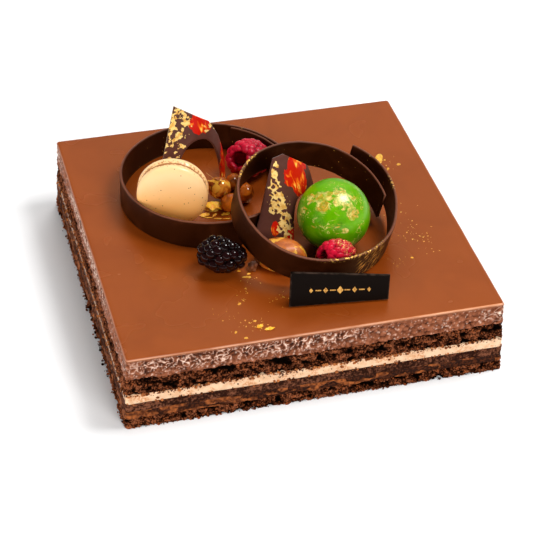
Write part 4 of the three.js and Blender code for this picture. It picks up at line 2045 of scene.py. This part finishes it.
@dataclass
class CaramelDome(Part):
    """Rounded piece of caramel under the front of the tipped hoop."""

    name: str = "caramel_dome_coat"
    node: str = "caramel_dome"
    slot: str = "caramel"
    finish: Finish = CaramelFinish(
        "soft caramel", thin=tone(208, 112, 36), pooled=tone(176, 84, 18), rough=0.42, gold_share=0.25,
    )
    x: float = -4.0
    y: float = -41.5
    turn: float = -28.0
    half_length: float = 13.5
    half_width: float = 9.0
    height: float = 15.0
    seed: int = 73

    def build(self) -> Shape:
        """Shapes the piece.

        Returns:
            The mesh.
        """
        stations = [(0, 0), (0.86, 0), (1, 0.24), (0.97, 0.48), (0.84, 0.72), (0.55, 0.92), (0, 1)]
        grain = Grain(self.seed)
        shape = turned(stations, 8, 96, lambda points: 0.1 * (grain.rough(points, 0.5) - 0.5))
        size = Matrix.Diagonal((self.half_length, self.half_width, self.height, 1))
        return shape.moved(placed(self.x, self.y, TOP + REST_GAP, ("Z", self.turn)) @ size)


@dataclass(frozen=True)
class PlaqueStand:
    """Place and sizes of the leaning plaque."""

    x: float = -10.0
    y: float = -78.4
    turn: float = -6.1
    width: float = 52.0
    left: float = 19.0
    right: float = 13.4
    left_slant: float = 1.2
    right_slant: float = 1.0
    thickness: float = 2.0
    lean: float = 17.0

    def matrix(self) -> Matrix:
        """Frame of the plaque: X along it, Y up its face, Z out of its face."""
        rise = self.thickness * math.sin(math.radians(self.lean)) + REST_GAP
        return placed(self.x, self.y, TOP + rise, ("Z", self.turn), ("X", 90 - self.lean))

    def outline(self, inset: float, steps: int) -> Array:
        """Corners and edge points of the face, moved in by an inset.

        Args:
            inset: how far in from the edges.
            steps: points along each edge.
        Returns:
            Points in the plane of the face.
        """
        corners = np.array([
            (inset, inset),
            (self.width - inset, inset),
            (self.width + self.right_slant - inset, self.right - inset),
            (self.left_slant + inset, self.left - inset),
        ])
        shares = np.arange(steps)[:, None] / steps
        return np.concatenate([
            corners[k] + (corners[(k + 1) % 4] - corners[k]) * shares for k in range(4)
        ])


PLAQUE = PlaqueStand()


@dataclass
class PlaquePlate(Part):
    """Dark chocolate plaque leaning back against the hoop."""

    name: str = "plaque_plate"
    node: str = "plaque"
    slot: str = "plaque_chocolate"
    bevel: float = 0.3
    finish: Finish = PlaqueFinish("plaque chocolate")

    def build(self) -> Shape:
        """Shapes the piece.

        Returns:
            The mesh.
        """
        soft = self.bevel
        stages = [
            (3 * soft, -PLAQUE.thickness, 0), (soft, -PLAQUE.thickness, 0.4), (0, soft - PLAQUE.thickness, 1),
            (0, -soft, 1), (0.3 * soft, -0.3 * soft, 1), (soft, 0, 1), (2.2 * soft, 0, 0), (4 * soft, 0, 0),
        ]
        loops, edges = [], []
        for inset, depth, edge in stages:
            outline = PLAQUE.outline(inset, 24)
            loops.append(at_height(outline, depth))
            edges.append(np.full(len(outline), float(edge)))
        return loft(np.array(loops), {"edge": np.array(edges)}).moved(PLAQUE.matrix())


@dataclass
class PlaqueLine(LoosePart):
    """Plain gold ornament on the plaque: a row of lozenges with bars between them."""

    name: str = "plaque_ornament"
    slot: str = "gold_leaf"
    lozenges: tuple[float, ...] = (1.3, 1.6, 2.2, 1.6, 1.3)
    step: float = 7.6
    bar: tuple[float, float] = (1.5, 0.32)
    height: float = 7.4
    shift: float = 0.6
    raised: float = 0.07
    sunk: float = 0.05
    finish: Finish = GoldFinish("ornament gold", bright=tone(226, 170, 82), shade=tone(170, 112, 44))

    def tile(self, outline: Array) -> Shape:
        """Raised flat tile of an outline."""
        return loft(np.array([at_height(outline, level) for level in (-self.sunk, self.raised)]))

    def build(self) -> Shape:
        """Shapes the piece.

        Returns:
            The mesh.
        """
        middle = np.array([PLAQUE.width / 2 + self.shift, self.height])
        tilt = math.atan2(PLAQUE.right - PLAQUE.left, PLAQUE.width) / 2
        turn = np.array([[math.cos(tilt), math.sin(tilt)], [-math.sin(tilt), math.cos(tilt)]])
        tiles = []
        for k, half in enumerate(self.lozenges):
            along = (k - (len(self.lozenges) - 1) / 2) * self.step
            lozenge = np.array([(-0.8 * half, 0), (0, -half), (0.8 * half, 0), (0, half)])
            tiles.append(self.tile(middle + (lozenge + (along, 0)) @ turn))
            if k > 0:
                bar = np.array([(-1, -1), (1, -1), (1, 1), (-1, 1)]) * self.bar
                tiles.append(self.tile(middle + (bar + (along - self.step / 2, 0)) @ turn))
        return Shape.joined(tiles).moved(PLAQUE.matrix())


@dataclass
class GoldScraps(Part):
    """Gold leaf scraps that lie on the glaze, and the heap of leaf among the nuts."""

    name: str = "gold_scraps"
    slot: str = "gold_leaf"
    node: str = "glaze"
    finish: Finish = GoldFinish("gold leaf")
    spokes: int = 14
    rings: int = 4
    sunk: float = 0.05
    first_seed: int = 300
    places: tuple[tuple[float, ...], ...] = (
        (75.6, 41, 5.6, 2.6, 0.6, 70), (85, 33.3, 1.5, 0.9, 0.5, 20), (77.8, 30.4, 1.3, 0.8, 0.5, 50),
        (-24.6, -48, 2.7, 0.8, 0.5, -11), (-34.1, -68.9, 1.4, 0.8, 0.5, 30), (-28.5, -89.3, 1.8, 1, 0.5, 10),
        (-24.1, -92.2, 1.5, 0.9, 0.5, -20), (-29.8, -84.2, 1, 0.7, 0.5, 0), (-41.4, -90.6, 1.1, 0.7, 0.5, 60),
        (-37.4, -96.2, 1.2, 0.8, 0.5, 0), (-28.4, 15.4, 4.6, 3.2, 2.4, -10),
    )

    def scrap(self, place: Sequence[float], seed: int) -> Shape:
        """One crumpled scrap.

        Args:
            place: x, y, half length, half width, height and turn.
            seed: start of its random numbers.
        Returns:
            The scrap's mesh.
        """
        x, y, long, wide, height, turn = place
        draw = np.random.default_rng(seed)
        reach = 0.72 + 0.4 * draw.random((self.spokes, 1))
        outline = ring_of(self.spokes) * reach * (long, wide)
        loops = []
        for k in range(self.rings + 1):
            lift = height * (0.25 + 0.6 * draw.random(self.spokes))
            low = lift if k else np.full(self.spokes, -self.sunk)
            loops.append(np.column_stack([outline * (1 - 0.85 * k / self.rings), low]))
        shape = loft(np.array(loops), tips=(-self.sunk, height * 0.8))
        return shape.moved(placed(x, y, TOP, ("Z", turn)))

    def build(self) -> Shape:
        """Shapes the piece."""
        scraps = [self.scrap(place, self.first_seed + k) for k, place in enumerate(self.places)]
        return Shape.joined(scraps)


@dataclass
class LeafSheets(LoosePart):
    """Thin crumpled sheets of gold leaf among the nuts, beside the dark berry and on the glaze.

    Places give x, y, height over the glaze, half length, half width, turn and tilt.
    """

    name: str = "leaf_sheets"
    slot: str = "gold_leaf"
    finish: Finish = GoldFinish("amber leaf", bright=tone(255, 196, 54), shade=tone(246, 156, 26), metal=0.0)
    spokes: int = 22
    rings: int = 5
    thick: float = 0.06
    lowest: float = 0.02
    first_seed: int = 400
    places: tuple[tuple[float, ...], ...] = (
        (-28.2, 13.0, 3.8, 5.6, 3.4, -6, 14), (-23.2, 13.4, 1.6, 3.0, 1.7, -30, 20),
        (-33.6, 10.4, 0.5, 3.0, 1.5, 10, 8), (-22.4, 8.6, 0.4, 2.8, 1.2, 5, 6),
        (-28.4, 9.2, 0.3, 2.0, 0.9, 40, 5), (-32, 7.6, 0.2, 2.4, 0.5, -22, 4),
        (-27.4, 5.7, 0.2, 2.6, 0.5, -16, 4), (-22.6, 4.6, 0.2, 2.2, 0.45, -8, 4),
        (-23.2, -45.8, 0.35, 1.1, 0.55, 20, 10), (-27.6, -42.4, 0.3, 1.0, 0.4, -15, 10),
        (65, -52, 0.2, 0.9, 0.6, 0, 4), (-28.4, -89.4, 0.6, 2.1, 1.2, 20, 3),
        (-24, -92.2, 0.55, 2.9, 1.2, 8, 3),
    )

    def sheet(self, long: float, wide: float, seed: int) -> Shape:
        """One ragged sheet.

        Args:
            long: half its length.
            wide: half its width.
            seed: start of its random numbers.
        Returns:
            The sheet's mesh, level at the origin.
        """
        draw = np.random.default_rng(seed)
        reach = 0.66 + 0.5 * draw.random((self.spokes, 1))
        outline = ring_of(self.spokes) * reach * (long, wide)
        grain = Grain(seed)
        crumple = 0.28 * wide

        def ring(share: float, lift: float) -> Array:
            """Loop of spots on the sheet.

            Args:
                share: how far out it lies, from 0 to 1.
                lift: how far over the sheet's underside.
            Returns:
                Points of the loop.
            """
            points = at_height(outline * share, 0)
            points[:, 2] = lift + crumple * (2 * grain.rough(points, 0.7 * wide) - 1)
            return points

        shares = np.linspace(0.1, 1, self.rings)
        loops = [ring(share, 0) for share in shares] + [ring(share, self.thick) for share in shares[::-1]]
        return loft(np.array(loops))

    def build(self) -> Shape:
        """Shapes the piece.

        Returns:
            The mesh.
        """
        sheets = []
        for k, (x, y, rise, long, wide, turn, tilt) in enumerate(self.places):
            shape = self.sheet(long, wide, self.first_seed + k)
            shape.moved(placed(x, y, TOP + rise, ("Z", turn), ("X", tilt)))
            shape.points[:, 2] = np.maximum(shape.points[:, 2], TOP + self.lowest)
            sheets.append(shape)
        return Shape.joined(sheets)


@dataclass
class CaramelThread(LoosePart):
    """Thread of caramel drawn from the front nut."""

    name: str = "caramel_thread"
    slot: str = "caramel_nut"
    finish: Finish = CaramelFinish("drawn caramel", thin=tone(240, 190, 128), pooled=tone(214, 140, 66))
    radius: float = 0.24
    sides: int = 8
    route: tuple[Spot, ...] = (
        (-22.4, 19.8, 58.0), (-24.4, 21.4, 58.4), (-26.8, 23.6, 59.0), (-29.2, 26.0, 60.4),
    )

    def build(self) -> Shape:
        """Shapes the piece.

        Returns:
            The mesh.
        """
        line = curve_through(self.route, 8)
        along = unit(np.gradient(line, axis=0))
        side = unit(np.cross(along, (0, 0, 1)))
        over = np.cross(side, along)
        ring = ring_of(self.sides)
        slim = self.radius * (1 - 0.6 * np.linspace(0, 1, len(line)))[:, None, None]
        around = ring[None, :, :1] * side[:, None] + ring[None, :, 1:] * over[:, None]
        return loft(line[:, None] + slim * around)


@dataclass
class GoldDust(LoosePart):
    """Specks of gold leaf strewn over the glaze.

    Clusters give x, y, the spread along both and the count.
    """

    name: str = "gold_dust"
    slot: str = "gold_leaf"
    finish: Finish = GoldFinish("gold leaf")
    sides: int = 5
    sunk: float = 0.03
    seed: int = 17
    clusters: tuple[tuple[float, float, float, float, int], ...] = (
        (73, -32, 9, 12, 46), (58, -54, 5, 5, 14), (80, 34, 8, 7, 12), (-31, -63, 3, 6, 14),
        (-31, -85, 6, 6, 22), (-44, -80, 7, 8, 12), (-13, -69, 4, 5, 14), (-24, -52, 5, 3, 10),
        (66, -10, 14, 20, 12), (30, 6, 20, 10, 8), (-16, -3, 10, 8, 8),
    )

    def build(self) -> Shape:
        """Shapes the piece.

        Returns:
            The mesh.
        """
        draw = np.random.default_rng(self.seed)
        ring = ring_of(self.sides)
        specks = []
        for x, y, wide, deep, count in self.clusters:
            for _ in range(count):
                size = 0.16 + 0.42 * draw.random() ** 3
                reach = size * (0.6 + 0.8 * draw.random((self.sides, 1)))
                outline = ring * reach * (1, 0.55 + 0.4 * draw.random())
                lift = 0.02 + 0.1 * draw.random(self.sides)
                loops = [at_height(outline, -self.sunk), np.column_stack([outline, lift])]
                spot = (x + wide * draw.normal() * 0.6, y + deep * draw.normal() * 0.6)
                specks.append(loft(np.array(loops)).moved(placed(*spot, TOP, ("Z", 360 * draw.random()))))
        return Shape.joined(specks)


@dataclass
class Crumbs(LoosePart):
    """Crumbs strewn along the cut sides, in bands of height."""

    name: str
    slot: str
    finish: Finish
    count: int
    sizes: tuple[float, float]
    heights: tuple[tuple[float, float], ...]
    spread: float
    seed: int
    pressed: float = 0.25
    flat_foot: float = 0.45

    def build(self) -> Shape:
        """Shapes the piece.

        Returns:
            The mesh.
        """
        draw = np.random.default_rng(self.seed)
        ways, tris = ball_mesh(2)
        places, outs = RIM.spots()
        low_size, high_size = self.sizes
        made = []
        for _ in range(self.count):
            k = draw.integers(len(places))
            low, high = self.heights[draw.integers(len(self.heights))]
            size = low_size + (high_size - low_size) * draw.random() ** 2.2
            height = max(low + (high - low) * draw.random(), self.flat_foot * size)
            out = BASE_FLARE * (1 - height / TOP) - self.pressed + self.spread * draw.exponential()
            lumpy = ways * (size * (0.7 + 0.5 * draw.random((len(ways), 1)))) * (0.6 + 0.8 * draw.random(3))
            lumpy[:, 2] = np.maximum(lumpy[:, 2], -self.flat_foot * size)
            spot = (*(places[k] + outs[k] * out), height)
            fields = {"relief": np.full(len(ways), 0.35 + 0.65 * draw.random())}
            turn = ("Z", 360 * draw.random())
            made.append(Shape(lumpy, NO_QUADS, tris, fields).moved(placed(*spot, turn)))
        return Shape.joined(made)


def crumbs() -> list[Crumbs]:
    """Crumbs along the foot and on the cream, most of these at its edges.

    Returns:
        The two strewn pieces.
    """
    crumb = CrumbFinish("loose crumb", crumb=tone(64, 30, 18), proud=tone(136, 68, 36))
    # Dragged crumbs also take painted shade in their pits.
    dragged = CrumbFinish(
        "dragged crumb", pit_shade=tone(40, 18, 8), crumb=tone(104, 54, 28), proud=tone(190, 118, 68),
    )
    low, high = (corner.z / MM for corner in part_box("cream"))
    edges = [(high - 0.9, high + 0.6)] * 5 + [(low - 0.6, low + 0.6)] * 2
    return [
        Crumbs(
            "crumbs_foot", "sponge", crumb, count=340, sizes=(0.2, 0.85), heights=((0, 0.3),),
            spread=0.32, seed=51,
        ),
        Crumbs(
            "crumbs_cream", "sponge", dragged, count=1700, sizes=(0.2, 0.95), heights=((low, high), *edges),
            spread=0.1, seed=52,
        ),
    ]


@dataclass
class BrittleCrumb(Part):
    """Crumb of brittle that leans on the dark berry."""

    name: str = "brittle_crumb"
    slot: str = "caramel"
    node: str = "glaze"
    finish: Finish = CaramelFinish("brittle", thin=tone(132, 72, 38), pooled=tone(76, 36, 15), rough=0.65)
    x: float = -20.0
    y: float = -41.8
    turn: float = 40.0
    halves: Spot = (2.8, 2.2, 2.9)
    rise: float = 1.7
    sunk: float = 0.05
    seed: int = 37

    def build(self) -> Shape:
        """Shapes the piece.

        Returns:
            The mesh.
        """
        ways, tris = ball_mesh(4)
        out = 0.6 + 0.9 * Grain(self.seed).rough(ways * 2, 0.9)
        points = ways * out[:, None] * self.halves
        points[:, 2] = np.maximum(points[:, 2] + self.rise, -self.sunk)
        return Shape(points, NO_QUADS, tris).outward().moved(placed(self.x, self.y, TOP, ("Z", self.turn)))


@dataclass(frozen=True)
class Panel:
    """Square soft light that faces the cake: place and side in metres, power in watts."""

    name: str
    place: Spot
    side: float
    power: float
    mirrored: bool = True

    def hang(self) -> None:
        """Hangs the light up."""
        light = bpy.data.lights.new(self.name, "AREA")
        light.size = self.side
        light.energy = self.power
        lamp = in_scene(self.name, light)
        lamp.location = self.place
        lamp.visible_glossy = self.mirrored
        lamp.rotation_euler = Vector(self.place).to_track_quat("Z", "Y").to_euler()


@dataclass(frozen=True)
class Studio:
    """Pale floor, soft light and the camera."""

    azimuth: float = -16.24
    elevation: float = 38.07
    roll: float = 1.88
    distance: float = 1.067
    target: Spot = (0.007, -0.0011, 0)
    lens: float = 122.27
    sensor: float = 36.0
    far_end: float = 50.0
    floor_size: float = 14.0
    surround: Colour = (1, 0.985, 0.965, 1)
    surround_strength: float = 0.07
    panels: tuple[Panel, ...] = (
        Panel("soft_box", (0.56, -0.08, 1.15), 0.45, 10.6),
        Panel("back_card", (0.36, 1.25, 1.0), 1.6, 2.7),
        Panel("back_fill", (0.3, 1.0, 1.1), 0.8, 10.5, mirrored=False),
        Panel("left_fill", (-1.3, -0.45, 0.45), 0.7, 14, mirrored=False),
        Panel("front_fill", (0.4, -1.5, 0.85), 0.8, 18, mirrored=False),
    )

    def camera(self) -> None:
        """Sets up the scene's camera at the picture's viewing angle."""
        camera = in_scene("camera", bpy.data.cameras.new("camera"))
        camera.data.lens = self.lens
        camera.data.sensor_width = self.sensor
        camera.data.clip_end = self.far_end
        turns = ("Z", self.azimuth), ("X", 90 - self.elevation), ("Z", self.roll)
        camera.matrix_world = placed(*self.target, *turns) @ placed(0, 0, self.distance)
        bpy.context.scene.camera = camera

    def floor(self) -> None:
        """Lays a large level floor under the cake."""
        half = self.floor_size / 2
        mesh = bpy.data.meshes.new("floor")
        corners = [(-half, -half, 0), (half, -half, 0), (half, half, 0), (-half, half, 0)]
        mesh.from_pydata(corners, [], [(0, 1, 2, 3)])
        mesh.materials.append(FloorFinish("studio floor").material())
        floor = in_scene("floor", mesh)

    def light(self) -> None:
        """Hangs a soft box, a dim wide card behind and fill from all sides, in an even surround."""
        world = bpy.data.worlds.new("studio")
        world.use_nodes = True
        surround = world.node_tree.nodes["Background"]
        surround.inputs["Color"].default_value = self.surround
        surround.inputs["Strength"].default_value = self.surround_strength
        bpy.context.scene.world = world
        for panel in self.panels:
            panel.hang()
        bpy.context.scene.view_settings.view_transform = "Standard"


def main() -> None:
    """Builds the cake and its studio, and logs each piece."""
    logging.basicConfig(level=logging.INFO, format="%(name)s: %(message)s")
    studio = Studio()
    studio.camera()
    studio.floor()
    studio.light()
    parts: list[Part] = [
        *cake_layers(),
        GlazeSkin(),
        *hoops(),
        *shards(),
        BiscuitShell("macaron_front_shell", "macaron_shell_front", flipped=False, seed=51),
        BiscuitShell("macaron_back_shell", "macaron_shell_back", flipped=True, seed=52),
        BiscuitFilling(),
        GreenBall(),
        *berries(),
        *nuts(),
        CaramelDome(),
        PlaquePlate(),
        PlaqueLine(),
        CaramelThread(),
        GoldScraps(),
        LeafSheets(),
        GoldDust(),
        BrittleCrumb(),
        *crumbs(),
    ]
    for part in parts:
        part.make()
    LOG.info("%d pieces in place", len(parts))


if __name__ == "__main__":
    main()
